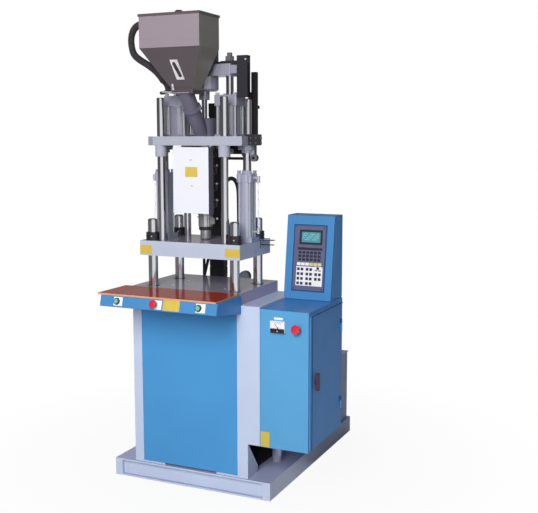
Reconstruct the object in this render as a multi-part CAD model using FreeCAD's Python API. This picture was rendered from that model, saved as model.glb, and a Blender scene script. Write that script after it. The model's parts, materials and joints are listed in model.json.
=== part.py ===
"""Small vertical injection moulding machine with four tie bars.

Millimetres, +Z up.  X runs along the front of the machine, +Y to the rear.  The origin is on the floor at
the middle of the base; the injection axis stands at x = 0, y = AXIS_Y.
"""
import FreeCAD, Part
import math
import os

V = FreeCAD.Vector
UP = V(0, 0, 1)

# ---------------------------------------------------------------- driving dimensions
AXIS_Y = -402.0                 # injection axis, measured from the middle of the base

BASE_W, BASE_D, BASE_H = 900.0, 1190.0, 92.0
BEAM_W = 42.0                   # side beams of the base
WEB_SET_BACK = 20.0             # front and rear channels: web behind the flange edges
FLANGE_T = 9.0
DECK_T = 6.0

BODY_X0, BODY_X1 = -330.0, 390.0
BODY_Y0, BODY_Y1 = -585.0, -120.0
BODY_TOP = 966.0
BODY_T = 6.0                    # plate of the body housing
PANEL_X0, PANEL_X1 = -279.0, 267.0
PANEL_Z0, PANEL_Z1 = 101.0, 926.0
PANEL_T = 3.0
LEG_X1 = 325.0                  # right leg, below the notch
NOTCH_Z = 271.0
GUSSET_D, GUSSET_LOW = 115.0, 34.0
FINGER_SLOT_X0, FINGER_SLOT_X1 = -151.0, 148.0

TABLE_X0, TABLE_X1 = -333.0, 282.0
TABLE_Y0, TABLE_Y1 = -585.0, -123.0
TABLE_Z0, TABLE_TOP = 966.0, 1023.0

BOARD_X0, BOARD_X1 = -371.0, 284.0
BOARD_Y0 = -834.0
BOARD_T = 9.0
APRON_X0, APRON_X1 = -352.0, 291.0
APRON_FOOT_OUT = 14.0           # the apron's foot stands this far in front of its top edge
APRON_Z0, APRON_REAR_Z0 = 960.0, 924.0
START_BUTTON_X = (-256.0, 194.0)
APRON_STOP_X = -43.0
BUTTON_Z = 988.0
BUTTON_R = 14.0

BAR_X, BAR_DY = 233.0, 134.0    # tie bars, from the injection axis
BAR_R = 24.0
BAR_TOP = 1368.0
BAR_NUT_R, BAR_NUT_H = 34.0, 41.0
BUSH_WALL = 10.0
CROSSHEAD_Z0, CROSSHEAD_T = 370.0, 60.0

PLATEN_X = 283.0
PLATEN_Y0, PLATEN_Y1 = -580.0, -224.0
PLATEN_Z0, PLATEN_TOP = 1184.0, 1259.0
LOCATING_R, LOCATING_DEPTH = 50.0, 12.0
SPRUE_R = 30.0
MOULD_BOLT_X, MOULD_BOLT_Y = 300.0, 160.0
MOULD_BOLT_R, MOULD_BOLT_DEPTH = 7.0, 35.0

GUIDE_X = 178.0
GUIDE_Y = (-533.0, -273.0)
GUIDE_R = 19.0
GUIDE_TOP = 1973.0
GUIDE_BUSH_R, GUIDE_BUSH_Z0 = 29.0, 1682.0
SLIDE_GAP = 0.3                 # radial room of every sliding rod

LIFT_X = 236.0
LIFT_TUBE_R, LIFT_HEAD_R = 37.0, 41.0
LIFT_ROD_OUT, LIFT_PORT_OUT = 29.0, 54.0
LIFT_HEAD_Z0, LIFT_HEAD_Z1 = 1556.0, 1614.0
LIFT_ROD_R = 19.0
LIFT_BASE = 112.0

CARRIAGE_Z0, CARRIAGE_TOP = 1737.0, 1782.0
CARRIAGE_X0, CARRIAGE_X1 = -275.0, 286.0
CARRIAGE_Y0, CARRIAGE_Y1 = -498.0, -345.0
REAR_WING_X, REAR_WING_Y1 = 212.0, -236.0
GUIDE_BAR_X0, GUIDE_BAR_Y0 = -210.0, -560.0

INJ_X = 144.0                   # injection cylinders
INJ_HEAD_W, INJ_HEAD_D = 124.0, 112.0
INJ_TOP, INJ_HEAD_H, INJ_FOOT_H = 1985.0, 53.0, 10.0
INJ_TUBE_R, INJ_BORE_R = 54.0, 46.0
INJ_PIPE_X, INJ_PIPE_R = -229.0, 9.0
PISTON_ROD_R = 19.0

DRIVE_X = 172.0                 # upper crosshead that carries the screw drive
DRIVE_Z0, DRIVE_TOP = 2077.0, 2135.0
DRIVE_D = 110.0
HOUSING_R, HOUSING_Z0 = 73.0, 2006.0
NOSE_R, NOSE_Z0 = 27.0, 1964.0
MOTOR_DRUM_R, MOTOR_R = 73.0, 50.0
STRIP_T = 12.0                  # strip under the right rod's nut that carries the striker channel

BARREL_R, BORE_R = 42.0, 16.0
BARREL_Z0 = 1392.0
FEED_BLOCK_R, FEED_BLOCK_TOP = 55.0, 1872.0
NOZZLE_Z0 = 1200.0
BAND_Z = (1420.0, 1505.0, 1590.0, 1676.0)
SCREW_R = 14.0
FLIGHT_R, FLIGHT_PITCH, FLIGHT_T = 15.6, 28.0, 4.0

COVER_X, COVER_Y0, COVER_Y1 = 100.0, -552.0, -500.0
COVER_Z0, COVER_Z1 = 1403.0, 1729.0

HOPPER_X0, HOPPER_X1 = -197.0, 131.0
HOPPER_Y0, HOPPER_Y1 = -690.0, -490.0
HOPPER_TOP, HOPPER_CONE_TOP = 2358.0, 2200.0
THROAT_X, THROAT_Y, THROAT_DY = 55.0, -582.0, 45.0
THROAT_Z = 2004.0
SHEET = 2.0                     # hopper, lid and cabinet sheet
SHUTTER_X0, SHUTTER_X1 = -56.0, 62.0
SHUTTER_Z0 = 1985.0
PIPE_R, PIPE_BORE_R = 37.0, 30.0
PIPE_END = V(0, -430, 1787)
PIPE_START = V(0, THROAT_Y, 1985)
HOSE_R, ELBOW_BEND_R = 15.0, 60.0
LIFT_HOSE_R = 10.5
PIPE_LINE_R = 7.0

CAB_X0, CAB_X1 = 390.0, 645.0
CAB_Y0, CAB_Y1 = -585.0, -115.0
CAB_Z0, CAB_TOP = 270.0, 957.0
CAB_T = 3.0
DOOR_Y0, DOOR_Y1 = -571.0, -158.0
DOOR_Z0, DOOR_Z1 = 284.0, 936.0
DOOR_T = 3.0
LOCK_Y, LOCK_Z = -500.0, 605.0
HINGE_X, HINGE_Y, HINGE_R = 653.0, -151.0, 5.0
HINGE_Z = (380.0, 790.0)        # lower edges of the cabinet's hinge knuckles

CONSOLE_X0, CONSOLE_X1 = 380.0, 636.0
CONSOLE_Y0, CONSOLE_TOP_Y0, CONSOLE_Y1 = -272.0, -217.0, -100.0
CONSOLE_TOP = 1385.0
BEZEL_X0, BEZEL_X1 = 426.0, 594.0
BEZEL_L0, BEZEL_L1 = 50.0, 378.0    # measured up the console's sloped face
WINDOW_X0, WINDOW_X1 = 464.0, 566.0
WINDOW_L0, WINDOW_L1 = 294.0, 347.0

METER_X, METER_Z = 488.0, 877.0
METER_W, METER_H, METER_D = 76.0, 60.0, 12.0
CAB_STOP_X, CAB_STOP_Z = 586.0, 874.0

TANK_X0, TANK_X1 = -330.0, 432.0
TANK_Y0, TANK_Y1 = -60.0, 590.0
TANK_TOP = 500.0
GAUGE_X, GAUGE_Y, GAUGE_Z, GAUGE_R = -14.0, 92.0, 997.0, 31.5
DUCT_X0, DUCT_X1 = -136.0, -50.0
DUCT_Y0, DUCT_Y1 = -106.0, -58.0
DUCT_Z0, DUCT_Z1 = 800.0, 1960.0
CONDUIT_R = 8.0


# Hose routes, points chosen by hand.
HOPPER_HOSE = [V(-202, -595, 2328), V(-235, -595, 2328), V(-275, -595, 2315), V(-306, -595, 2287),
               V(-323, -595, 2248.5), V(-324.5, -595, 2206.5), V(-309.5, -595, 2165), V(-276.5, -595, 2133),
               V(-199, -595, 2091.5), V(-126, -595, 2053)]
LIFT_HOSE = [V(47, -244, 1301), V(47, -244, 1372), V(47.9, -244.8, 1443), V(50.4, -246.9, 1514.5),
             V(64.6, -258.8, 1546.5), V(89.1, -279.4, 1565), V(117.5, -303.2, 1565), V(142, -323.7, 1546.5),
             V(156.2, -335.6, 1514.5), V(158.7, -337.7, 1443), V(159.6, -338.5, 1372), V(159.6, -338.5, 1301)]


# ---------------------------------------------------------------- building blocks
def box(x0, x1, y0, y1, z0, z1):
    return Part.makeBox(x1 - x0, y1 - y0, z1 - z0, V(x0, y0, z0))


def rod(r, x, y, z0, z1):
    return Part.makeCylinder(r, z1 - z0, V(x, y, z0))


def bar(r, start, end):
    return Part.makeCylinder(r, (end - start).Length, start, end - start)


def turned(profile, x, y):
    """A turned piece: (radius, height) points revolved about a vertical axis."""
    points = [V(x + r, y, z) for r, z in profile]
    face = Part.Face(Part.makePolygon(points + points[:1]))
    return face.revolve(V(x, y, 0), UP, 360)


def turned_on(profile, start, direction):
    """A turned piece whose profile heights run from start along direction."""
    shape = turned(profile, 0, 0)
    turn = FreeCAD.Rotation(UP, direction)
    shape.Placement = FreeCAD.Placement(start, turn)
    return shape


def slab(outline, z0, z1):
    points = [V(x, y, z0) for x, y in outline]
    return Part.Face(Part.makePolygon(points + points[:1])).extrude(V(0, 0, z1 - z0))


def side_profile(outline, x0, x1):
    """A (y, z) outline extruded along X."""
    points = [V(x0, y, z) for y, z in outline]
    return Part.Face(Part.makePolygon(points + points[:1])).extrude(V(x1 - x0, 0, 0))


def hexagon(across_flats, x, y, z0, z1):
    r = across_flats / math.sqrt(3)
    corners = [(x + r * math.cos(math.radians(a)), y + r * math.sin(math.radians(a))) for a in range(0, 360, 60)]
    return slab(corners, z0, z1)


def round_edges(shape, radius, direction):
    """Rounds the straight edges of a plate that run along one direction."""
    edges = []
    for edge in shape.Edges:
        line = edge.Curve
        if isinstance(line, Part.Line) and abs(line.Direction.dot(direction)) > 0.999:
            edges.append(edge)
    return shape.makeFillet(radius, edges)


def join(shapes):
    result = shapes[0].multiFuse(shapes[1:])
    return result.removeSplitter()


def cut(shape, tools):
    for tool in tools:
        shape = shape.cut(tool)
    return shape


def corners_of(half_x, half_y, x=0.0, y=AXIS_Y):
    return [(x + sx * half_x, y + sy * half_y) for sx in (-1, 1) for sy in (-1, 1)]


BAR_PLACES = corners_of(BAR_X, BAR_DY)
GUIDE_PLACES = [(side * GUIDE_X, y) for y in GUIDE_Y for side in (-1, 1)]


# ---------------------------------------------------------------- frame
def base_frame():
    x, y = BASE_W / 2, BASE_D / 2
    inner = x - BEAM_W
    parts = [box(-x, -inner, -y, y, 0, BASE_H), box(inner, x, -y, y, 0, BASE_H)]
    for side in (-1, 1):
        edge = side * y
        web = edge - side * WEB_SET_BACK
        back = edge - side * (WEB_SET_BACK + FLANGE_T)
        y0, y1 = min(web, back), max(web, back)
        f0, f1 = min(edge, back), max(edge, back)
        parts.append(box(-inner, inner, y0, y1, 0, BASE_H))
        parts.append(box(-inner, inner, f0, f1, 0, FLANGE_T))
        parts.append(box(-inner, inner, f0, f1, BASE_H - FLANGE_T, BASE_H))
    for cross_y in (-200.0, 0.0, 200.0):
        parts.append(box(-inner, inner, cross_y - 30, cross_y + 30, 0, BASE_H - DECK_T))
    deck_y = y - WEB_SET_BACK - FLANGE_T
    parts.append(box(-inner, inner, -deck_y, deck_y, BASE_H - DECK_T, BASE_H))
    return join(parts)


def body_housing():
    """Welded box under the table: open front and rear, with the lower right side cut away."""
    t = BODY_T
    shell = box(BODY_X0, BODY_X1, BODY_Y0, BODY_Y1, BASE_H, BODY_TOP)
    hollow = box(BODY_X0 + t, BODY_X1 - t, BODY_Y0 + t, BODY_Y1 - t, BASE_H - 1, BODY_TOP - 16)
    notch = box(LEG_X1, BODY_X1 + 1, BODY_Y0 - 1, BODY_Y1 + 1, BASE_H - 1, NOTCH_Z)
    front = box(PANEL_X0 + 12, PANEL_X1 - 12, BODY_Y0 - 1, BODY_Y0 + t + 1, PANEL_Z0 + 12, PANEL_Z1 - 12)
    rebate = box(PANEL_X0, PANEL_X1, BODY_Y0 - 1, BODY_Y0 + PANEL_T, PANEL_Z0, PANEL_Z1)
    finger_slot = box(FINGER_SLOT_X0, FINGER_SLOT_X1, BODY_Y0 - 1, BODY_Y0 + t + 1, BASE_H - 1, PANEL_Z0 + 1)
    rear = box(BODY_X0 + 60, BODY_X1 - 110, BODY_Y1 - t - 1, BODY_Y1 + 1, 150, 900)
    well = rod(105, 0, AXIS_Y, BODY_TOP - 17, BODY_TOP + 1)
    bar_holes = [rod(BAR_R + 12, px, py, BODY_TOP - 17, BODY_TOP + 1) for px, py in BAR_PLACES]
    shell = cut(shell, [hollow, notch, front, rebate, finger_slot, rear, well] + bar_holes)
    shelf = box(LEG_X1 - t, BODY_X1, BODY_Y0, BODY_Y1, NOTCH_Z, NOTCH_Z + t)
    gusset = [(BODY_Y0, BASE_H), (BODY_Y0 + GUSSET_D, BASE_H), (BODY_Y0 + GUSSET_D, BASE_H + GUSSET_LOW),
              (BODY_Y0 + t, NOTCH_Z), (BODY_Y0, NOTCH_Z)]
    front_gusset = side_profile(gusset, LEG_X1 - t, LEG_X1)
    rear_gusset = front_gusset.mirror(V(0, (BODY_Y0 + BODY_Y1) / 2, 0), V(0, 1, 0))
    return join([shell, shelf, front_gusset, rear_gusset])


def front_panel():
    return box(PANEL_X0 + 0.5, PANEL_X1 - 0.5, BODY_Y0, BODY_Y0 + PANEL_T, PANEL_Z0 + 0.5, PANEL_Z1 - 0.5)


def rear_cover():
    """Louvred sheet over the housing's rear opening."""
    cover = box(BODY_X0 + 45, BODY_X1 - 95, BODY_Y1, BODY_Y1 + SHEET, 135, 915)
    louvres = [box(-150, 100, BODY_Y1 - 1, BODY_Y1 + SHEET + 1, z, z + 8) for z in range(300, 420, 24)]
    return cut(cover, louvres)


def table_platen():
    block = box(TABLE_X0, TABLE_X1, TABLE_Y0, TABLE_Y1, TABLE_Z0, TABLE_TOP)
    bores = [rod(BAR_R + BUSH_WALL, x, y, TABLE_Z0 - 1, TABLE_TOP + 1) for x, y in BAR_PLACES]
    taps = [rod(MOULD_BOLT_R, x, y, TABLE_TOP - MOULD_BOLT_DEPTH, TABLE_TOP + 1)
            for x, y in corners_of(MOULD_BOLT_X / 2, MOULD_BOLT_Y / 2)]
    return cut(block, bores + taps)


def table_bushings():
    profile = [(BAR_R + SLIDE_GAP, TABLE_Z0 - 14), (BAR_R + BUSH_WALL, TABLE_Z0 - 14),
               (BAR_R + BUSH_WALL, TABLE_TOP - 0.5), (BAR_R + SLIDE_GAP, TABLE_TOP - 0.5)]
    return Part.makeCompound([turned(profile, x, y) for x, y in BAR_PLACES])


def table_board():
    board = box(BOARD_X0, BOARD_X1, BOARD_Y0, TABLE_Y0, TABLE_TOP - BOARD_T, TABLE_TOP)
    return round_edges(board, 4, UP)


def apron_lean(z):
    """Y of the apron's sloped front face at a height."""
    top = TABLE_TOP - BOARD_T
    return BOARD_Y0 + 3 - APRON_FOOT_OUT * (top - z) / (top - APRON_Z0)


APRON_NORMAL = V(0, -(TABLE_TOP - BOARD_T - APRON_Z0), APRON_FOOT_OUT)
APRON_NORMAL.normalize()


def apron_housing():
    top = TABLE_TOP - BOARD_T
    outline = [(apron_lean(top), top), (apron_lean(APRON_Z0), APRON_Z0),
               (BODY_Y0, APRON_REAR_Z0), (BODY_Y0, top)]
    body = side_profile(outline, APRON_X0, APRON_X1)
    t = SHEET
    inner = [(apron_lean(top) + 2 * t, top - t), (apron_lean(APRON_Z0) + t, APRON_Z0 + 2 * t),
             (BODY_Y0 - t, APRON_REAR_Z0 + 2 * t), (BODY_Y0 - t, top - t)]
    hollow = side_profile(inner, APRON_X0 + t, APRON_X1 - t)
    holes = [bar(BUTTON_R + 1, apron_point(x) + APRON_NORMAL, apron_point(x) - APRON_NORMAL * 30)
             for x in START_BUTTON_X]
    holes.append(bar(12, apron_point(APRON_STOP_X) + APRON_NORMAL, apron_point(APRON_STOP_X) - APRON_NORMAL * 30))
    return cut(body, [hollow] + holes)


def apron_point(x):
    return V(x, apron_lean(BUTTON_Z), BUTTON_Z)


def button_bezels():
    """Collars round the two start buttons and the two emergency stops."""
    inner = BUTTON_R + 0.6
    ring = [(inner, 0), (17, 0), (17, 5), (16, 6), (inner, 6)]
    small = [(9.5, 0), (13, 0), (13, 8), (9.5, 8)]
    rings = [turned_on(ring, apron_point(x), APRON_NORMAL) for x in START_BUTTON_X]
    rings.append(turned_on(small, apron_point(APRON_STOP_X), APRON_NORMAL))
    rings.append(turned_on(small, V(CAB_STOP_X, CAB_Y0, CAB_STOP_Z), V(0, -1, 0)))
    return Part.makeCompound(rings)


def start_button(x):
    profile = [(0, -24), (BUTTON_R, -24), (BUTTON_R, 9), (BUTTON_R - 3, 11), (0, 12)]
    return turned_on(profile, apron_point(x), APRON_NORMAL)


def mushroom(radius, point, normal):
    profile = [(0, -22), (8, -22), (8, 14), (radius - 5, 14), (radius, 18), (radius, 23), (radius - 3, 28),
               (radius * 0.5, 31), (0, 32)]
    return turned_on(profile, point, normal)


def clamp_cylinder():
    """Cylinder hung under the table, its rod pointing down to the lower crosshead."""
    outer = [(0, BODY_TOP - 300), (105, BODY_TOP - 300), (105, BODY_TOP - 260), (88, BODY_TOP - 260),
             (88, BODY_TOP - 28), (103, BODY_TOP - 28), (103, BODY_TOP), (0, BODY_TOP)]
    body = turned([(r, z) for r, z in outer], 0, AXIS_Y)
    cavity = rod(70, 0, AXIS_Y, BODY_TOP - 262, BODY_TOP - 30)
    gland = rod(45 + SLIDE_GAP, 0, AXIS_Y, BODY_TOP - 301, BODY_TOP - 261)
    port = rod(9, 0, AXIS_Y, 0, 30)
    port.Placement = FreeCAD.Placement(V(0, AXIS_Y + 60, BODY_TOP - 60), FreeCAD.Rotation(V(1, 0, 0), -90))
    return cut(body, [cavity, gland, port])


def control_cabinet():
    t = CAB_T
    shell = box(CAB_X0, CAB_X1, CAB_Y0, CAB_Y1, CAB_Z0, CAB_TOP)
    shell = round_edges(shell, 4, V(0, 0, 1))
    hollow = box(CAB_X0 + t, CAB_X1 - t, CAB_Y0 + t, CAB_Y1 - t, CAB_Z0 + t, CAB_TOP - t)
    doorway = box(CAB_X1 - t - 1, CAB_X1 + 1, DOOR_Y0 + 14, DOOR_Y1 - 14, DOOR_Z0 + 14, DOOR_Z1 - 14)
    meter_hole = box(METER_X - 24, METER_X + 24, CAB_Y0 - 1, CAB_Y0 + t + 1, METER_Z - 22, METER_Z + 22)
    stop_hole = bar(9.5, V(CAB_STOP_X, CAB_Y0 - 1, CAB_STOP_Z), V(CAB_STOP_X, CAB_Y0 + t + 1, CAB_STOP_Z))
    shell = cut(shell, [hollow, doorway, meter_hole, stop_hole])
    knuckles = []
    for z in HINGE_Z:
        knuckles.append(rod(HINGE_R, HINGE_X, HINGE_Y, z, z + 40))
        knuckles.append(box(CAB_X1 - 1, HINGE_X, HINGE_Y + 1, HINGE_Y + 16, z, z + 40))
    return join([shell] + knuckles)


def electrical_plate():
    """Mounting plate with its rails, breakers, contactors and transformer."""
    x0 = CAB_X0 + CAB_T
    parts = [box(x0, x0 + 12, CAB_Y0 + 40, CAB_Y1 - 25, CAB_Z0 + 40, CAB_TOP - 40)]
    for row, count, deep, high in ((860, 7, 60, 80), (700, 5, 80, 85), (545, 6, 70, 80)):
        parts.append(box(x0 + 12, x0 + 20, CAB_Y0 + 60, CAB_Y1 - 45, row - 18, row + 18))
        for index in range(count):
            y = CAB_Y0 + 66 + index * 50
            parts.append(box(x0 + 20, x0 + 20 + deep, y, y + 44, row - high / 2, row + high / 2))
    parts.append(box(x0 + 12, x0 + 100, CAB_Y0 + 80, CAB_Y0 + 200, 320, 430))
    parts.append(box(x0 + 12, x0 + 62, CAB_Y0 + 60, CAB_Y1 - 45, 610, 640))
    return join(parts)


def console_slope(x, up, out=0.0):
    """A point on the console's sloped face: x, distance up the slope, distance out of it."""
    rise, lean = CONSOLE_TOP - CAB_TOP, CONSOLE_TOP_Y0 - CONSOLE_Y0
    length = math.hypot(rise, lean)
    y = CONSOLE_Y0 + lean * up / length - rise * out / length
    z = CAB_TOP + rise * up / length + lean * out / length
    return V(x, y, z)


def slope_plate(x0, x1, up0, up1, out0, out1, radius=0.0):
    corners = [console_slope(x, up, out0) for x, up in ((x0, up0), (x1, up0), (x1, up1), (x0, up1))]
    normal = console_slope(0, 0, 1) - console_slope(0, 0, 0)
    plate = Part.Face(Part.makePolygon(corners + corners[:1])).extrude(normal * (out1 - out0))
    return round_edges(plate, radius, normal) if radius else plate


def control_console():
    outline = [(CONSOLE_Y0, CAB_TOP), (CONSOLE_Y1, CAB_TOP), (CONSOLE_Y1, CONSOLE_TOP),
               (CONSOLE_TOP_Y0, CONSOLE_TOP)]
    body = round_edges(side_profile(outline, CONSOLE_X0, CONSOLE_X1), 5, V(1, 0, 0))
    foot = box(CONSOLE_X0 - 1, CAB_X0, CONSOLE_Y0 - 20, CONSOLE_Y1 + 1, CAB_TOP - 10, BODY_TOP + 1)
    recess = slope_plate(BEZEL_X0 - 1, BEZEL_X1 + 1, BEZEL_L0 - 1, BEZEL_L1 + 1, -4, 8)
    low, high, t = BODY_TOP + 4, CONSOLE_TOP - CAB_T, CAB_T
    inner = [(CONSOLE_Y0 + 4 * t, low), (CONSOLE_Y1 - t, low), (CONSOLE_Y1 - t, high), (CONSOLE_TOP_Y0 + 3 * t, high)]
    hollow = side_profile(inner, CONSOLE_X0 + t, CONSOLE_X1 - t)
    return cut(body, [foot, recess, hollow])


def keypad_keys():
    keys = []
    for up in (242, 224, 206):
        for column in range(6):
            x = 452 + column * 21
            keys.append(slope_plate(x, x + 15, up - 6, up + 6, 2, 5))
    for up in (157, 133, 109, 85):
        for column in range(6):
            x = 448 + column * 20 + 8 * (column // 2)
            keys.append(slope_plate(x, x + 14, up - 7, up + 7, 2, 5))
    return keys


def panel_bezel():
    """Moulded panel with its keys and the recess for the display."""
    plate = slope_plate(BEZEL_X0, BEZEL_X1, BEZEL_L0, BEZEL_L1, -4, 3, 6)
    window = slope_plate(WINDOW_X0 - 1, WINDOW_X1 + 1, WINDOW_L0 - 1, WINDOW_L1 + 1, -1, 4)
    return join([plate] + keypad_keys()).cut(window)


def display_window():
    return slope_plate(WINDOW_X0, WINDOW_X1, WINDOW_L0, WINDOW_L1, -1, 2)


def ammeter_case():
    y = CAB_Y0
    case = box(METER_X - METER_W / 2, METER_X + METER_W / 2, y - METER_D, y, METER_Z - METER_H / 2,
               METER_Z + METER_H / 2)
    case = round_edges(case, 3, V(0, 1, 0))
    back = bar(21, V(METER_X, y, METER_Z), V(METER_X, y + 40, METER_Z))
    dial = box(METER_X - 34, METER_X + 34, y - METER_D - 1, y - 4, METER_Z - 8, METER_Z + 26)
    return join([case, back]).cut(dial)


def ammeter_needle():
    pivot = V(METER_X, CAB_Y0 - 4.5, METER_Z - 4)
    hub = bar(3, pivot, pivot - V(0, 3, 0))
    arm = box(METER_X - 0.8, METER_X + 0.8, CAB_Y0 - 7, CAB_Y0 - 5.5, METER_Z - 4, METER_Z + 22)
    needle = join([hub, arm])
    needle.rotate(pivot, V(0, 1, 0), -42)
    return needle


def oil_tank():
    t = 4
    body = box(TANK_X0, TANK_X1, TANK_Y0, TANK_Y1, BASE_H, TANK_TOP - t)
    body = round_edges(body, 12, UP)
    inside = box(TANK_X0 + t, TANK_X1 - t, TANK_Y0 + t, TANK_Y1 - t, BASE_H + t, TANK_TOP - t)
    body = body.cut(inside)
    lid = box(TANK_X0 - 6, TANK_X1 + 3, TANK_Y0 - 6, TANK_Y1 + 3, TANK_TOP - t, TANK_TOP)
    filler = turned([(0, TANK_TOP), (28, TANK_TOP), (28, TANK_TOP + 30), (36, TANK_TOP + 30),
                     (36, TANK_TOP + 58), (30, TANK_TOP + 64), (0, TANK_TOP + 64)], -230, 500)
    gauge = box(-250, -215, TANK_Y1, TANK_Y1 + 3, 250, 400)
    hand_hole = bar(90, V(120, TANK_Y1, 300), V(120, TANK_Y1 + 3, 300))
    return join([body, lid, filler, gauge, hand_hole])


def pump_motor():
    """Foot-mounted electric motor with cooling fins, fan cowl and terminal box, its pump on the bell housing."""
    x0, x1, y, z, r = 60.0, 330.0, 330.0, TANK_TOP + 132, 92.0
    core = bar(r, V(x0, y, z), V(x1, y, z))
    cowl = bar(r + 12, V(x1 - 5, y, z), V(x1 + 62, y, z))
    flange = bar(r + 22, V(x0 - 16, y, z), V(x0 + 2, y, z))
    fins = []
    for index in range(24):
        angle = math.radians(index * 15 + 7.5)
        if math.sin(angle) < -0.8:
            continue
        fin = box(x0, x1 - 5, y - 2, y + 2, z + r - 6, z + r + 11)
        fin.rotate(V(0, y, z), V(1, 0, 0), math.degrees(angle) - 90)
        fins.append(fin)
    feet = [box(x0 + 20 + s * 170, x0 + 60 + s * 170, y - 110, y + 110, TANK_TOP, TANK_TOP + 14) for s in (0, 1)]
    webs = [box(x0 + 25 + s * 170, x0 + 55 + s * 170, y - 60, y + 60, TANK_TOP + 14, z - 60) for s in (0, 1)]
    terminal = box(x0 + 60, x0 + 170, y - 48, y + 48, z + r - 8, z + r + 56)
    bell = bar(80, V(x0 - 106, y, z), V(x0 - 16, y, z))
    head = bar(58, V(x0 - 206, y, z), V(x0 - 106, y, z))
    inlet = rod(30, x0 - 156, y, TANK_TOP, z)
    inlet_flange = rod(48, x0 - 156, y, TANK_TOP, TANK_TOP + 12)
    return join([core, cowl, flange, terminal, bell, head, inlet, inlet_flange] + fins + feet + webs)


def valve_manifold():
    """Drilled block with four solenoid valves along it and the pressure gauge on its riser pipe."""
    y0, y1, z0, z1 = 60.0, 150.0, TANK_TOP, TANK_TOP + 90
    block = box(-80, 250, y0, y1, z0, z1)
    parts = [block]
    for index in range(4):
        x = -45 + index * 82
        parts.append(box(x - 24, x + 24, y0 + 5, y1 - 5, z1, z1 + 62))
        parts.append(bar(21, V(x, y0 - 62, z1 + 32), V(x, y0 + 6, z1 + 32)))
        parts.append(bar(21, V(x, y1 - 6, z1 + 32), V(x, y1 + 62, z1 + 32)))
    parts.append(rod(7, GAUGE_X, GAUGE_Y, z1, GAUGE_Z))
    dial = [(0, -16), (GAUGE_R - 3, -16), (GAUGE_R, -13), (GAUGE_R, 16), (GAUGE_R - 4, 16), (GAUGE_R - 4, 12), (0, 12)]
    parts.append(turned_on(dial, V(GAUGE_X, GAUGE_Y, GAUGE_Z), V(0, -1, 0)))
    return join(parts)


def return_filter():
    x, y = 350.0, -285.0
    profile = [(0, BASE_H), (26, BASE_H), (26, BASE_H + 118), (30, BASE_H + 122), (30, BASE_H + 150),
               (12, BASE_H + 156), (12, NOTCH_Z), (0, NOTCH_Z)]
    return turned(profile, x, y)


# ---------------------------------------------------------------- moving platen group
def moving_platen():
    block = box(-PLATEN_X, PLATEN_X, PLATEN_Y0, PLATEN_Y1, PLATEN_Z0, PLATEN_TOP)
    bar_holes = [rod(BAR_R, x, y, PLATEN_Z0 - 1, PLATEN_TOP + 1) for x, y in BAR_PLACES]
    guide_holes = [rod(GUIDE_R, x, y, PLATEN_TOP - 60, PLATEN_TOP + 1) for x, y in GUIDE_PLACES]
    taps = [rod(MOULD_BOLT_R, x, y, PLATEN_Z0 - 1, PLATEN_Z0 + MOULD_BOLT_DEPTH)
            for x, y in corners_of(MOULD_BOLT_X / 2, MOULD_BOLT_Y / 2)]
    locating = rod(LOCATING_R, 0, AXIS_Y, PLATEN_Z0 - 1, PLATEN_Z0 + LOCATING_DEPTH)
    sprue = rod(SPRUE_R, 0, AXIS_Y, PLATEN_Z0, PLATEN_TOP + 1)
    return cut(block, bar_holes + guide_holes + taps + [locating, sprue])


def tie_bars():
    low = CROSSHEAD_Z0 - 46
    profile = [(0, low), (17, low), (20, low + 3), (20, CROSSHEAD_Z0 + CROSSHEAD_T),
               (BAR_R, CROSSHEAD_Z0 + CROSSHEAD_T), (BAR_R, BAR_TOP - 3), (BAR_R - 3, BAR_TOP), (0, BAR_TOP)]
    return Part.makeCompound([turned(profile, x, y) for x, y in BAR_PLACES])


def tie_bar_nuts():
    """Round collar nuts above the platen, hexagon nuts below the lower crosshead."""
    nuts = []
    for x, y in BAR_PLACES:
        collar = turned([(BAR_R, PLATEN_TOP), (BAR_NUT_R, PLATEN_TOP), (BAR_NUT_R, PLATEN_TOP + BAR_NUT_H - 2),
                         (BAR_NUT_R - 2, PLATEN_TOP + BAR_NUT_H), (BAR_R, PLATEN_TOP + BAR_NUT_H)], x, y)
        low_nut = hexagon(60, x, y, CROSSHEAD_Z0 - 36, CROSSHEAD_Z0).cut(rod(20, x, y, 0, CROSSHEAD_Z0 + 1))
        nuts += [collar, low_nut]
    return Part.makeCompound(nuts)


def guide_rods():
    profile = [(0, PLATEN_TOP - 60), (GUIDE_R, PLATEN_TOP - 60), (GUIDE_R, GUIDE_TOP - 2),
               (GUIDE_R - 2, GUIDE_TOP), (0, GUIDE_TOP)]
    return Part.makeCompound([turned(profile, x, y) for x, y in GUIDE_PLACES])


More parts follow.
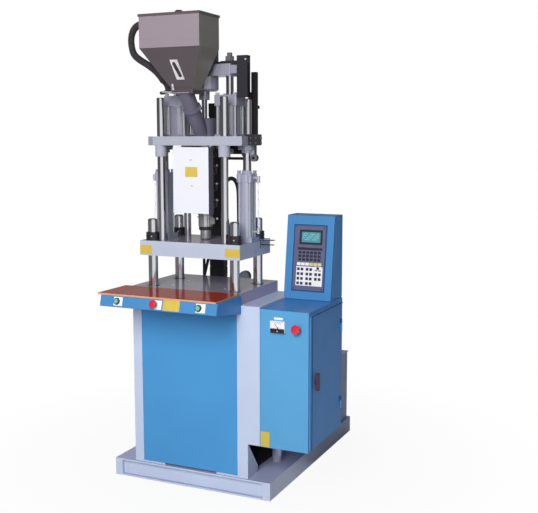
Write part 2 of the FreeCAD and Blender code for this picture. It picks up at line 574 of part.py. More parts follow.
def lift_cylinder(x):
    """Tie-rod cylinder that raises the injection unit off the platen."""
    z0, half = PLATEN_TOP, LIFT_BASE / 2
    foot = round_edges(box(x - half + 8, x + half - 8, AXIS_Y - half + 6, AXIS_Y + half - 6, z0, z0 + 24), 8, UP)
    tube = rod(LIFT_TUBE_R, x, AXIS_Y, z0 + 24, LIFT_HEAD_Z0)
    shoulder = LIFT_HEAD_Z1 - 16
    head = turned([(0, LIFT_HEAD_Z0), (LIFT_HEAD_R, LIFT_HEAD_Z0), (LIFT_HEAD_R, shoulder - 3),
                   (LIFT_HEAD_R - 3, shoulder), (25, shoulder), (25, LIFT_HEAD_Z1 - 2), (23, LIFT_HEAD_Z1),
                   (0, LIFT_HEAD_Z1)], x, AXIS_Y)
    parts = [foot, tube, head]
    for px, py in corners_of(LIFT_ROD_OUT, LIFT_ROD_OUT, x):
        parts.append(rod(5.5, px, py, z0 + 12, LIFT_HEAD_Z0 + 5))
        parts.append(rod(12, px, py, LIFT_HEAD_Z0, shoulder - 2))
        parts.append(hexagon(19, px, py, shoulder - 2, LIFT_HEAD_Z1))
    side = 1 if x > 0 else -1
    port_z = LIFT_HEAD_Z0 + 22
    parts.append(bar(8, V(x, AXIS_Y, port_z), V(x + side * LIFT_PORT_OUT, AXIS_Y, port_z)))
    body = join(parts)
    return cut(body, [rod(29, x, AXIS_Y, z0 + 20, LIFT_HEAD_Z0 + 4),
                      rod(LIFT_ROD_R + SLIDE_GAP, x, AXIS_Y, LIFT_HEAD_Z0, LIFT_HEAD_Z1 + 1)])


def lift_cylinders():
    return Part.makeCompound([lift_cylinder(-LIFT_X), lift_cylinder(LIFT_X)])


def lower_crosshead():
    """Cast spider that ties the four bars to the clamp rod."""
    x, y, waist = BAR_X + 42, BAR_DY + 36, 96
    outline = [(-x, -y), (-x + 92, -y), (-waist, -62), (waist, -62), (x - 92, -y), (x, -y), (x, -y + 84),
               (142, -34), (142, 34), (x, y - 84), (x, y), (x - 92, y), (waist, 62), (-waist, 62), (-x + 92, y),
               (-x, y), (-x, y - 84), (-142, 34), (-142, -34), (-x, -y + 84)]
    plate = slab([(px, AXIS_Y + py) for px, py in outline], CROSSHEAD_Z0, CROSSHEAD_Z0 + CROSSHEAD_T)
    hub = rod(88, 0, AXIS_Y, CROSSHEAD_Z0, CROSSHEAD_Z0 + CROSSHEAD_T)
    plate = join([plate, hub])
    holes = [rod(20, px, py, CROSSHEAD_Z0 - 1, CROSSHEAD_Z0 + CROSSHEAD_T + 1) for px, py in BAR_PLACES]
    return cut(plate, holes + [rod(30, 0, AXIS_Y, CROSSHEAD_Z0 - 1, CROSSHEAD_Z0 + CROSSHEAD_T + 1)])


def clamp_ram():
    top = CROSSHEAD_Z0 + CROSSHEAD_T
    piston = BODY_TOP - 230
    profile = [(0, CROSSHEAD_Z0), (30, CROSSHEAD_Z0), (30, top), (72, top), (72, top + 20), (45, top + 20),
               (45, piston), (70 - SLIDE_GAP, piston), (70 - SLIDE_GAP, piston + 28), (0, piston + 28)]
    return turned(profile, 0, AXIS_Y)


def oil_fittings():
    """Thin return tube down the outside of each lift cylinder, and the two hose fittings on the platen."""
    pieces = []
    for side in (-1, 1):
        x = side * (LIFT_X + LIFT_PORT_OUT + 9)
        top = LIFT_HEAD_Z0 + 22
        elbow = [rod(9, x, AXIS_Y, top - 24, top + 9),
                 bar(8, V(side * (LIFT_X + LIFT_PORT_OUT), AXIS_Y, top), V(x, AXIS_Y, top))]
        line = rod(3, x, AXIS_Y, PLATEN_TOP + 60, top - 20)
        valve = rod(8, x, AXIS_Y, PLATEN_TOP + 40, PLATEN_TOP + 70)
        outlet = bar(5, V(x, AXIS_Y, PLATEN_TOP + 50), V(side * (LIFT_X + 30), AXIS_Y, PLATEN_TOP + 50))
        tube = join(elbow + [line, valve, outlet])
        pieces.append(tube.cut(rod(LIFT_TUBE_R, side * LIFT_X, AXIS_Y, PLATEN_TOP, LIFT_HEAD_Z0)))
    for end in (LIFT_HOSE[0], LIFT_HOSE[-1]):
        nut = hexagon(27, end.x, end.y, PLATEN_TOP, PLATEN_TOP + 16)
        pieces.append(join([nut, rod(LIFT_HOSE_R + 2.5, end.x, end.y, PLATEN_TOP + 16, end.z)]))
    return Part.makeCompound(pieces)


def platen_striker():
    """Bent strip at the platen's right side that trips the clamp limit switches."""
    foot = box(PLATEN_X, PLATEN_X + 4, -346, -308, PLATEN_TOP - 40, PLATEN_TOP + 4)
    shelf = box(PLATEN_X - 34, PLATEN_X + 67, -340, -310, PLATEN_TOP, PLATEN_TOP + 4)
    lower = box(PLATEN_X, PLATEN_X + 72, -346, -330, PLATEN_TOP - 22, PLATEN_TOP - 18)
    return join([foot, shelf, lower])


# ---------------------------------------------------------------- injection unit
def guide_bar():
    plate = box(GUIDE_BAR_X0, CARRIAGE_X1, GUIDE_BAR_Y0, CARRIAGE_Y0, CARRIAGE_Z0, CARRIAGE_TOP)
    holes = [rod(GUIDE_BUSH_R - 4, x, GUIDE_Y[0], CARRIAGE_Z0 - 1, CARRIAGE_TOP + 1) for x in (-GUIDE_X, GUIDE_X)]
    return cut(plate, holes)


def carriage_plate():
    outline = [(CARRIAGE_X0, CARRIAGE_Y0), (CARRIAGE_X1, CARRIAGE_Y0), (CARRIAGE_X1, CARRIAGE_Y1),
               (REAR_WING_X, CARRIAGE_Y1), (REAR_WING_X, REAR_WING_Y1), (-REAR_WING_X, REAR_WING_Y1),
               (-REAR_WING_X, CARRIAGE_Y1), (CARRIAGE_X0, CARRIAGE_Y1)]
    plate = slab(outline, CARRIAGE_Z0, CARRIAGE_TOP)
    holes = [rod(GUIDE_BUSH_R - 4, x, GUIDE_Y[1], CARRIAGE_Z0 - 1, CARRIAGE_TOP + 1) for x in (-GUIDE_X, GUIDE_X)]
    holes.append(rod(BARREL_R, 0, AXIS_Y, CARRIAGE_Z0 - 1, CARRIAGE_TOP + 1))
    holes += [rod(12, x, AXIS_Y, CARRIAGE_Z0 - 1, CARRIAGE_Z0 + 30) for x in (-LIFT_X, LIFT_X)]
    return cut(plate, holes)


def guide_bushings():
    inner = GUIDE_R + SLIDE_GAP
    profile = [(inner, GUIDE_BUSH_Z0), (GUIDE_BUSH_R - 1.5, GUIDE_BUSH_Z0), (GUIDE_BUSH_R, GUIDE_BUSH_Z0 + 1.5),
               (GUIDE_BUSH_R, CARRIAGE_Z0), (GUIDE_BUSH_R - 4, CARRIAGE_Z0), (GUIDE_BUSH_R - 4, CARRIAGE_TOP),
               (inner, CARRIAGE_TOP)]
    return Part.makeCompound([turned(profile, x, y) for x, y in GUIDE_PLACES])


def lift_rods():
    z0 = PLATEN_TOP + 38
    profile = [(0, z0), (29 - SLIDE_GAP, z0), (29 - SLIDE_GAP, z0 + 26), (LIFT_ROD_R, z0 + 26),
               (LIFT_ROD_R, CARRIAGE_Z0 - 37), (27, CARRIAGE_Z0 - 37), (27, CARRIAGE_Z0 - 22),
               (44, CARRIAGE_Z0 - 22), (44, CARRIAGE_Z0), (12, CARRIAGE_Z0), (12, CARRIAGE_Z0 + 28),
               (0, CARRIAGE_Z0 + 28)]
    return Part.makeCompound([turned(profile, x, AXIS_Y) for x in (-LIFT_X, LIFT_X)])


def injection_cylinder(x):
    """Tie-rod cylinder: square heads, round tube, four tie rods with nuts on top."""
    half_w, half_d = INJ_HEAD_W / 2, INJ_HEAD_D / 2
    head = box(x - half_w, x + half_w, AXIS_Y - half_d, AXIS_Y + half_d, INJ_TOP - INJ_HEAD_H, INJ_TOP)
    foot = box(x - half_w, x + half_w, AXIS_Y - half_d, AXIS_Y + half_d, CARRIAGE_TOP, CARRIAGE_TOP + INJ_FOOT_H)
    head = round_edges(head, 10, UP)
    foot = round_edges(foot, 10, UP)
    parts = [head, foot, rod(INJ_TUBE_R, x, AXIS_Y, CARRIAGE_TOP + 5, INJ_TOP - 10)]
    for px, py in corners_of(half_w - 14, half_d - 14, x):
        parts.append(rod(7, px, py, CARRIAGE_TOP + 5, INJ_TOP))
        parts.append(hexagon(20, px, py, INJ_TOP, INJ_TOP + 11))
    body = join(parts)
    return cut(body, [rod(INJ_BORE_R, x, AXIS_Y, CARRIAGE_TOP + 12, INJ_TOP - 24),
                      rod(PISTON_ROD_R + SLIDE_GAP, x, AXIS_Y, INJ_TOP - 25, INJ_TOP + 1)])


def injection_cylinders():
    """The pair of cylinders; an oil pipe runs down beside the left one."""
    head, knee = INJ_TOP - 22, V(INJ_PIPE_X, AXIS_Y, INJ_TOP - 26)
    pipe = [bar(INJ_PIPE_R, knee, V(INJ_PIPE_X, AXIS_Y, CARRIAGE_TOP)), Part.makeSphere(INJ_PIPE_R, knee),
            bar(INJ_PIPE_R, knee, V(-INJ_X - INJ_HEAD_W / 2 + 4, AXIS_Y, head)),
            rod(14, INJ_PIPE_X, AXIS_Y, CARRIAGE_TOP, CARRIAGE_TOP + 14)]
    return Part.makeCompound([join([injection_cylinder(-INJ_X)] + pipe), injection_cylinder(INJ_X)])


def barrel():
    profile = [(BORE_R, BARREL_Z0), (BARREL_R, BARREL_Z0), (BARREL_R, CARRIAGE_Z0 - 16), (66, CARRIAGE_Z0 - 16),
               (66, CARRIAGE_Z0), (BARREL_R, CARRIAGE_Z0), (BARREL_R, CARRIAGE_TOP), (FEED_BLOCK_R, CARRIAGE_TOP),
               (FEED_BLOCK_R, FEED_BLOCK_TOP - 3), (FEED_BLOCK_R - 3, FEED_BLOCK_TOP), (BORE_R, FEED_BLOCK_TOP)]
    body = turned(profile, 0, AXIS_Y)
    axis = PIPE_END - PIPE_START
    axis.normalize()
    return body.cut(bar(PIPE_BORE_R * 0.8, PIPE_END - axis * 60, PIPE_END + axis * 20))


def heater_bands():
    bands = []
    for z in BAND_Z:
        band = turned([(BARREL_R, z), (50, z), (50, z + 44), (BARREL_R, z + 44)], 0, AXIS_Y)
        clamp = box(44, 66, AXIS_Y - 7, AXIS_Y + 7, z + 6, z + 38).cut(rod(46, 0, AXIS_Y, z, z + 44))
        bands.append(join([band, clamp]))
    nozzle_band = turned([(28, 1326), (36, 1326), (36, 1382), (28, 1382)], 0, AXIS_Y)
    terminal = box(32, 52, AXIS_Y - 6, AXIS_Y + 6, 1338, 1370).cut(rod(34, 0, AXIS_Y, 1320, 1390))
    bands.append(join([nozzle_band, terminal]))
    return Part.makeCompound(bands)


def nozzle():
    profile = [(0, NOZZLE_Z0), (6, NOZZLE_Z0), (10, NOZZLE_Z0 + 7), (10, 1248), (24, 1262), (27, 1266), (27, 1308),
               (34, 1308), (34, 1324), (28, 1324), (28, 1384), (38, 1384), (38, BARREL_Z0), (0, BARREL_Z0)]
    return turned(profile, 0, AXIS_Y)


def heater_cover():
    """Folded sheet guard hung in front of the heated barrel, on two stays."""
    t = SHEET
    pan = box(-COVER_X, COVER_X, COVER_Y0, COVER_Y1, COVER_Z0, COVER_Z1)
    hollow = box(-COVER_X + t, COVER_X - t, COVER_Y0 + t, COVER_Y1 + 1, COVER_Z0 + t, COVER_Z1 - t)
    stays = []
    for z in (COVER_Z0 + 70, COVER_Z1 - 80):
        stays.append(box(-COVER_X + t, COVER_X - t, COVER_Y1 - 10, COVER_Y1 - 4, z, z + 24))
        stays.append(box(-9, 9, COVER_Y1 - 5, AXIS_Y - BARREL_R + 6, z, z + 24))
    guard = join([pan.cut(hollow)] + stays)
    return guard.cut(rod(BARREL_R, 0, AXIS_Y, COVER_Z0, COVER_Z1))


def feed_pipe():
    """Sloping pipe from the hopper down to the barrel, with the shutter's housing on its upper end."""
    axis = PIPE_END - PIPE_START
    axis.normalize()
    outside = bar(PIPE_R, PIPE_START - axis * 40, PIPE_END + axis * 10)
    collar_at = PIPE_START + axis * 78
    collar = bar(PIPE_R + 9, collar_at, collar_at + axis * 14)
    lug = bar(7, collar_at + axis * 7 + V(PIPE_R + 2, 0, 0), collar_at + axis * 7 + V(PIPE_R + 18, 0, 0))
    body = join([outside, collar, lug])
    body = cut(body, [bar(PIPE_BORE_R, PIPE_START - axis * 60, PIPE_END + axis * 20),
                      box(-80, 80, THROAT_Y - 80, THROAT_Y + 80, SHUTTER_Z0, SHUTTER_Z0 + 90),
                      rod(FEED_BLOCK_R, 0, AXIS_Y, CARRIAGE_TOP - 40, FEED_BLOCK_TOP + 40),
                      box(-80, 80, -700, -300, CARRIAGE_TOP - 90, CARRIAGE_TOP)])
    return join([body, shutter_body(), hose_elbow()])


def shutter_body():
    z = SHUTTER_Z0
    block = round_edges(box(SHUTTER_X0, SHUTTER_X1, THROAT_Y - 52, THROAT_Y + 52, z, THROAT_Z), 8, UP)
    slot = box(SHUTTER_X0 - 1, SHUTTER_X1 - 12, THROAT_Y - 36.5, THROAT_Y + 36.5, z + 6, z + 12)
    return cut(block, [slot, rod(PIPE_BORE_R, 0, THROAT_Y, z - 1, THROAT_Z + 1)])


def hose_elbow():
    """Bent spigot on the shutter housing that takes the lower end of the air hose."""
    start = HOPPER_HOSE[-1]
    heading = start - HOPPER_HOSE[-2]
    heading.normalize()
    down = V(heading.z, 0, -heading.x)
    centre = start + down * ELBOW_BEND_R
    end = V(centre.x + ELBOW_BEND_R, start.y, centre.z)
    toward = (start - centre) + (end - centre)
    toward.normalize()
    bend = Part.Arc(start, centre + toward * ELBOW_BEND_R, end).toShape()
    ring = Part.Wire(Part.makeCircle(HOSE_R, start, heading))
    elbow = Part.Wire([bend]).makePipeShell([ring], True, False)
    ledge = box(end.x - HOSE_R, SHUTTER_X0 + 10, start.y - HOSE_R, start.y + HOSE_R, SHUTTER_Z0 + 14, THROAT_Z)
    foot = rod(HOSE_R, end.x, start.y, SHUTTER_Z0 + 14, end.z)
    return join([elbow, ledge, foot])


def shutter_slide():
    z = SHUTTER_Z0 + 7
    blade = box(-120, -32, THROAT_Y - 34, THROAT_Y + 34, z, z + 4)
    handle = turned_on([(0, 0), (4, 0), (4, 14), (8, 18), (8, 38), (5, 42), (0, 42)], V(-119, THROAT_Y + 20, z + 2),
                       V(-1, 0, 0))
    return join([blade, handle])


def throat_loft(grow, z0, z1):
    """Solid of the hopper's tapered part, with its walls moved out by grow."""
    def ring(x0, x1, y0, y1, z):
        points = [V(x0 - grow, y0 - grow, z), V(x1 + grow, y0 - grow, z), V(x1 + grow, y1 + grow, z),
                  V(x0 - grow, y1 + grow, z)]
        return Part.makePolygon(points + points[:1])
    low = ring(-THROAT_X, THROAT_X, THROAT_Y - THROAT_DY, THROAT_Y + THROAT_DY, z0)
    high = ring(HOPPER_X0, HOPPER_X1, HOPPER_Y0, HOPPER_Y1, z1)
    return Part.makeLoft([low, high], True, True)


def hopper():
    t = SHEET
    outside = join([throat_loft(0, THROAT_Z, HOPPER_CONE_TOP),
                    box(HOPPER_X0, HOPPER_X1, HOPPER_Y0, HOPPER_Y1, HOPPER_CONE_TOP, HOPPER_TOP)])
    inside = join([throat_loft(-t, THROAT_Z, HOPPER_CONE_TOP),
                   box(HOPPER_X0 + t, HOPPER_X1 - t, HOPPER_Y0 + t, HOPPER_Y1 - t, HOPPER_CONE_TOP, HOPPER_TOP + 1),
                   box(-THROAT_X + t, THROAT_X - t, THROAT_Y - THROAT_DY + t, THROAT_Y + THROAT_DY - t,
                       THROAT_Z - 1, THROAT_Z)])
    flange = box(-THROAT_X - 7, THROAT_X + 7, THROAT_Y - 52, THROAT_Y + 52, THROAT_Z, THROAT_Z + 5)
    end = HOPPER_HOSE[0]
    stub = bar(HOSE_R + 3, end, V(HOPPER_X0 + 1, end.y, end.z))
    shell = join([outside, flange, stub])
    port = bar(HOSE_R - 3, end - V(1, 0, 0), V(HOPPER_X0 + 5, end.y, end.z))
    return join([cut(shell, [inside, port]), sight_glass()])


def hopper_lid():
    t, lip = SHEET, 10
    x0, x1, y0, y1 = HOPPER_X0 - 4, HOPPER_X1 + 4, HOPPER_Y0 - 4, HOPPER_Y1 + 4
    lid = box(x0, x1, y0, y1, HOPPER_TOP - lip, HOPPER_TOP + t)
    lid = lid.cut(box(x0 + t, x1 - t, y0 + t, y1 - t, HOPPER_TOP - lip - 1, HOPPER_TOP))
    middle = ((x0 + x1) / 2, (y0 + y1) / 2)
    grip = turned([(0, HOPPER_TOP + t), (8, HOPPER_TOP + t), (8, HOPPER_TOP + 10), (19, HOPPER_TOP + 14),
                   (19, HOPPER_TOP + 20), (14, HOPPER_TOP + 24), (0, HOPPER_TOP + 24)], *middle)
    return join([lid, grip])


def cone_front_y(z):
    share = (HOPPER_CONE_TOP - z) / (HOPPER_CONE_TOP - THROAT_Z)
    return HOPPER_Y0 + (THROAT_Y - THROAT_DY - HOPPER_Y0) * share


def sight_glass():
    """Framed slot window lying on the hopper's tapered front."""
    def corner(x, z, out):
        return V(x, cone_front_y(z) - out, z)
    places = ((-13, 2051), (29, 2051), (-15, 2143), (-56, 2143))
    points = [corner(x, z, 0) for x, z in places]
    frame = Part.Face(Part.makePolygon(points + points[:1])).extrude(V(0, -5, 0))
    low, high = V(6, 0, 2068), V(-33, 0, 2126)
    slot = [bar(8, V(end.x, cone_front_y(end.z) - 2.5, end.z), V(end.x, -720, end.z)) for end in (low, high)]
    sides = [V(low.x - 8, -720, low.z), V(low.x + 8, -720, low.z), V(high.x + 8, -720, high.z),
             V(high.x - 8, -720, high.z)]
    middle = Part.Face(Part.makePolygon(sides + sides[:1])).extrude(V(0, 150, 0))
    skin = [corner(-60, 2040, 2.5), corner(40, 2040, 2.5), corner(40, 2160, 2.5), corner(-60, 2160, 2.5)]
    front = Part.Face(Part.makePolygon(skin + skin[:1])).extrude(V(0, -150, 0))
    return cut(frame, slot + [middle.common(front)])


def conduit(points):
    """Rigid conduit in the trunk's middle plane, through (x, z) points."""
    y = (DUCT_Y0 + DUCT_Y1) / 2
    ends = [V(x, y, z) for x, z in points]
    knees = [Part.makeSphere(CONDUIT_R, end) for end in ends[1:-1]]
    return [bar(CONDUIT_R, start, end) for start, end in zip(ends, ends[1:])] + knees


def cable_duct():
    """Cable and hose trunk that hangs behind the machine from the injection unit."""
    trunk = box(DUCT_X0, DUCT_X1, DUCT_Y0, DUCT_Y1, DUCT_Z0, DUCT_Z1)
    for z in range(int(DUCT_Z0) + 40, int(DUCT_Z1) - 20, 58):
        ring = box(DUCT_X0 - 1, DUCT_X1 + 1, DUCT_Y0 - 1, DUCT_Y1 + 1, z, z + 4)
        core = box(DUCT_X0 + 3, DUCT_X1 - 3, DUCT_Y0 + 3, DUCT_Y1 - 3, z - 1, z + 5)
        trunk = trunk.cut(ring.cut(core))
    arm = box(DUCT_X0 + 20, DUCT_X1 - 20, REAR_WING_Y1, DUCT_Y0 + 4, CARRIAGE_Z0 + 10, CARRIAGE_TOP - 5)
    return join([trunk, arm] + conduit(((-130, 1196), (-160, 1100), (-184, 1010), (-184, 880), (-130, 850)))
                + conduit(((-130, 1220), (-184, 1206), (-184, 1010))))


def switch_rail():
    """Upright rail on the carriage with its limit switch and clamp knob, and the roller on its hanger."""
    rail = box(260, 286, -400, -376, CARRIAGE_TOP, 2094)
    groove = box(266, 280, -402, -394, CARRIAGE_TOP + 20, 2080)
    foot = box(232, CARRIAGE_X1 + 2, -412, -364, CARRIAGE_TOP, CARRIAGE_TOP + 10)
    knob = bar(8, V(286, -388, 1924), V(297, -388, 1924))
    cheek = box(CARRIAGE_X1, CARRIAGE_X1 + 7, CARRIAGE_Y0 + 6, CARRIAGE_Y1 - 4, CARRIAGE_Z0 + 2, CARRIAGE_TOP + 10)
    heads = [bar(6, V(CARRIAGE_X1 + 7, y, z), V(CARRIAGE_X1 + 12, y, z)) for y in (-480, -420, -362)
             for z in (CARRIAGE_Z0 + 12, CARRIAGE_TOP - 8)]
    hanger = box(280.5, CARRIAGE_X1, -412, -392, 1676, CARRIAGE_Z0)
    roller = bar(18, V(278, -414, 1676), V(278, -390, 1676))
    switch = box(244, 260, -402, -378, 1962, 1990)
    plunger = rod(4, 252, -390, 1990, 1998)
    upright = join([rail.cut(groove), foot, knob, switch, plunger, cheek] + heads)
    return Part.makeCompound([upright, join([hanger, roller])])


def oil_manifold():
    """Port block under the carriage plate with two screwed fittings and a cross pipe below."""
    x0, x1, y0, y1, z0 = 95.0, 200.0, -350.0, -310.0, CARRIAGE_Z0 - 44
    y, low = (y0 + y1) / 2, z0 - 22
    parts = [box(x0, x1, y0, y1, z0, CARRIAGE_Z0), bar(PIPE_LINE_R, V(x0 - 4, y, low), V(x1 + 4, y, low))]
    for x in (x0 + 6, x1 - 6):
        parts.append(rod(PIPE_LINE_R, x, y, low, z0))
    for x in (x0 + 34, x0 + 64):
        nut = hexagon(24, 0, 0, 0, 14)
        nut.Placement = FreeCAD.Placement(V(x, y0, z0 + 14), FreeCAD.Rotation(UP, V(0, -1, 0)))
        parts += [nut, bar(8, V(x, y0, z0 + 14), V(x, y0 - 26, z0 + 14))]
    return join(parts)


# ---------------------------------------------------------------- screw drive
def drive_crosshead():
    half = DRIVE_D / 2
    plate = round_edges(box(-DRIVE_X, DRIVE_X, AXIS_Y - half, AXIS_Y + half, DRIVE_Z0, DRIVE_TOP), 6, UP)
    holes = [rod(13, x, AXIS_Y, DRIVE_Z0 - 1, DRIVE_TOP + 1) for x in (-INJ_X, INJ_X)]
    return cut(plate, holes + [rod(34, 0, AXIS_Y, DRIVE_Z0 - 1, DRIVE_TOP + 1)])


def piston_rods():
    """Piston, rod, and the washer and nut that hold the rod in the drive crosshead."""
    piston = (CARRIAGE_TOP + 12 + INJ_TOP - 24) / 2 - 9
    piston_r = INJ_BORE_R - SLIDE_GAP
    profile = [(0, piston), (piston_r, piston), (piston_r, piston + 18), (PISTON_ROD_R, piston + 18),
               (PISTON_ROD_R, DRIVE_Z0), (13, DRIVE_Z0), (13, DRIVE_TOP + 54), (11, DRIVE_TOP + 57),
               (0, DRIVE_TOP + 57)]
    rods = []
    for x, seat in ((-INJ_X, DRIVE_TOP), (INJ_X, DRIVE_TOP + STRIP_T)):
        washer = rod(30, x, AXIS_Y, seat, seat + 4)
        nut = hexagon(42, x, AXIS_Y, seat + 4, seat + 27)
        rods.append(join([turned(profile, x, AXIS_Y), washer, nut]))
    return Part.makeCompound(rods)


def bearing_housing():
    inner = SCREW_R + 2
    profile = [(inner, NOSE_Z0), (NOSE_R, NOSE_Z0), (NOSE_R, HOUSING_Z0), (HOUSING_R - 8, HOUSING_Z0),
               (HOUSING_R, HOUSING_Z0 + 8), (HOUSING_R, DRIVE_Z0), (inner, DRIVE_Z0)]
    return turned(profile, 0, AXIS_Y)


def hydraulic_motor():
    z = DRIVE_TOP
    profile = [(0, z), (MOTOR_DRUM_R, z), (MOTOR_DRUM_R, z + 14), (MOTOR_DRUM_R - 3, z + 14),
               (MOTOR_DRUM_R - 3, z + 20), (MOTOR_DRUM_R, z + 20), (MOTOR_DRUM_R, z + 98),
               (MOTOR_DRUM_R - 5, z + 103), (MOTOR_R, z + 103), (MOTOR_R, z + 124), (MOTOR_R - 5, z + 130),
               (0, z + 130)]
    body = turned(profile, 0, AXIS_Y)
    ports = [bar(13, V(side * 20, AXIS_Y, z + 108), V(side * 20, AXIS_Y + 66, z + 108)) for side in (-1, 1)]
    drain = hexagon(30, 0, 0, 0, 16)
    drain.Placement = FreeCAD.Placement(V(42, AXIS_Y - 56, z + 26), FreeCAD.Rotation(UP, V(0, -1, 0)))
    return join([body, drain] + ports)


def striker_plate():
    """Folded cam strip on the drive crosshead that works the limit switches."""
    x0, x1, y0, y1 = 209, 266, AXIS_Y - 55, AXIS_Y - 20
    channel = box(x0, x1, y0, y1, 1970, 2172).cut(box(x0 + 3, x1 - 3, y0 + 3, y1 + 1, 1969, 2169))
    bracket = box(DRIVE_X, x0 + 3, y0 + 6, y1 - 2, DRIVE_Z0 + 10, DRIVE_TOP - 8)
    tab = box(x1, x1 + 14, y0, y0 + 4, 2136, 2158)
    strip = box(INJ_X - 60, x0 + 3, AXIS_Y - 30, AXIS_Y + 30, DRIVE_TOP, DRIVE_TOP + STRIP_T)
    strip = strip.cut(rod(13, INJ_X, AXIS_Y, DRIVE_TOP - 1, DRIVE_TOP + STRIP_T + 1))
    return join([channel, bracket, tab, strip])


def injection_screw():
    """Screw with its drive shaft, running in the barrel: root, helical flight and pointed tip."""
    tip = BARREL_Z0 + 96
    flight_low, flight_high = tip + 40, FEED_BLOCK_TOP - 40
    core = turned([(0, tip), (9, tip + 22), (9, flight_low), (12, flight_high), (SCREW_R, flight_high + 10),
                   (SCREW_R, DRIVE_TOP - 6), (0, DRIVE_TOP - 6)], 0, AXIS_Y)
    helix = Part.makeHelix(FLIGHT_PITCH, flight_high - flight_low, 8)
    section = Part.makePolygon([V(7, 0, 0), V(FLIGHT_R, 0, 0.8), V(FLIGHT_R, 0, FLIGHT_T - 0.8),
                                V(7, 0, FLIGHT_T), V(7, 0, 0)])
    flight = Part.Wire(helix).makePipeShell([section], True, True)
    flight.translate(V(0, AXIS_Y, flight_low))
    return join([core, flight])


# ---------------------------------------------------------------- cabinet door
def cabinet_door():
    x = CAB_X1
    pan = box(x + 0.5, x + 0.5 + DOOR_T, DOOR_Y0, DOOR_Y1, DOOR_Z0, DOOR_Z1)
    pan = round_edges(pan, 3, V(1, 0, 0))
    fold = box(x - 11, x + 1, DOOR_Y0 + 16, DOOR_Y1 - 30, DOOR_Z0 + 16, DOOR_Z1 - 16)
    fold = fold.cut(box(x - 12, x + 2, DOOR_Y0 + 18, DOOR_Y1 - 32, DOOR_Z0 + 18, DOOR_Z1 - 18))
    knuckles = []
    for z in HINGE_Z:
        knuckles.append(rod(HINGE_R, HINGE_X, HINGE_Y, z + 40.5, z + 62))
        knuckles.append(box(x + 0.5, HINGE_X - 2, DOOR_Y1 - 5, HINGE_Y, z + 40.5, z + 62))
    lock_hole = bar(6, V(x - 20, LOCK_Y, LOCK_Z), V(x + 20, LOCK_Y, LOCK_Z))
    return join([pan, fold] + knuckles).cut(lock_hole)


def door_lock():
    """Swing handle with its shaft and the latch tongue behind the door."""
    x = CAB_X1 + 0.5 + DOOR_T
    shaft = bar(5.6, V(x - 20, LOCK_Y, LOCK_Z), V(x + 6, LOCK_Y, LOCK_Z))
    rose = bar(17, V(x + 0.5, LOCK_Y, LOCK_Z), V(x + 7, LOCK_Y, LOCK_Z))
    grip = round_edges(box(x + 6, x + 18, LOCK_Y - 10, LOCK_Y + 10, LOCK_Z - 44, LOCK_Z + 44), 4, V(1, 0, 0))
    tongue = box(x - 20, x - 17, LOCK_Y - 52, LOCK_Y + 8, LOCK_Z - 9, LOCK_Z + 9)
    return join([shaft, rose, grip, tongue])


# ---------------------------------------------------------------- hoses
def hose_route(points, radius):
    """Straight runs joined by tangent arcs; prints the arc radii and the length."""
    lines, radii = [], []
    start = points[0]
    for before, here, after in zip(points, points[1:], points[2:]):
        run_in, run_out = here - before, after - here
        half_turn = run_in.getAngle(run_out) / 2
        arc_r = 0.45 * min(run_in.Length, run_out.Length) / math.tan(half_turn)
        reach = arc_r * math.tan(half_turn)
        run_in.normalize()
        run_out.normalize()
        arc_in, arc_out = here - run_in * reach, here + run_out * reach
        toward = run_out - run_in
        toward.normalize()
        centre = here + toward * (arc_r / math.cos(half_turn))
        middle = centre - toward * arc_r
        lines.append(Part.LineSegment(start, arc_in).toShape())
        lines.append(Part.Arc(arc_in, middle, arc_out).toShape())
        radii.append(round(arc_r))
        start = arc_out
    lines.append(Part.LineSegment(start, points[-1]).toShape())
    wire = Part.Wire(lines)
    first = points[1] - points[0]
    ring = Part.Wire(Part.makeCircle(radius, points[0], first))
    tube = wire.makePipeShell([ring], True, False)
    share = tube.Volume / (math.pi * radius ** 2 * wire.Length)
    print("hose: length %.0f mm, arc radii %s, volume share %.3f" % (wire.Length, radii, share))
    return tube


def hopper_hose():
    return hose_route(HOPPER_HOSE, HOSE_R)


def lift_hose():
    return hose_route(LIFT_HOSE, LIFT_HOSE_R)


NODES = {
    "base_frame": base_frame, "body_housing": body_housing, "front_panel": front_panel, "rear_cover": rear_cover,
    "table_platen": table_platen, "table_bushings": table_bushings, "table_board": table_board,
    "apron_housing": apron_housing, "button_bezels": button_bezels, "clamp_cylinder": clamp_cylinder,
    "control_cabinet": control_cabinet, "electrical_plate": electrical_plate,
    "control_console": control_console, "panel_bezel": panel_bezel, "display_window": display_window,
    "ammeter_case": ammeter_case, "ammeter_needle": ammeter_needle, "oil_tank": oil_tank,
    "pump_motor": pump_motor, "valve_manifold": valve_manifold, "return_filter": return_filter,
    "moving_platen": moving_platen, "tie_bars": tie_bars, "tie_bar_nuts": tie_bar_nuts,
    "guide_rods": guide_rods, "lift_cylinders": lift_cylinders, "lower_crosshead": lower_crosshead,
    "clamp_ram": clamp_ram, "oil_fittings": oil_fittings, "platen_striker": platen_striker,
    "lift_hose": lift_hose,
    "guide_bar": guide_bar, "carriage_plate": carriage_plate, "guide_bushings": guide_bushings,
    "lift_rods": lift_rods, "injection_cylinders": injection_cylinders, "barrel": barrel,
    "heater_bands": heater_bands, "nozzle": nozzle, "heater_cover": heater_cover, "feed_pipe": feed_pipe,
    "shutter_slide": shutter_slide, "hopper": hopper, "hopper_lid": hopper_lid, "hopper_hose": hopper_hose,
    "cable_duct": cable_duct, "switch_rail": switch_rail, "oil_manifold": oil_manifold,
    "drive_crosshead": drive_crosshead, "piston_rods": piston_rods, "bearing_housing": bearing_housing,
    "hydraulic_motor": hydraulic_motor, "striker_plate": striker_plate,
    "injection_screw": injection_screw,
    "cabinet_door": cabinet_door, "door_lock": door_lock,
}


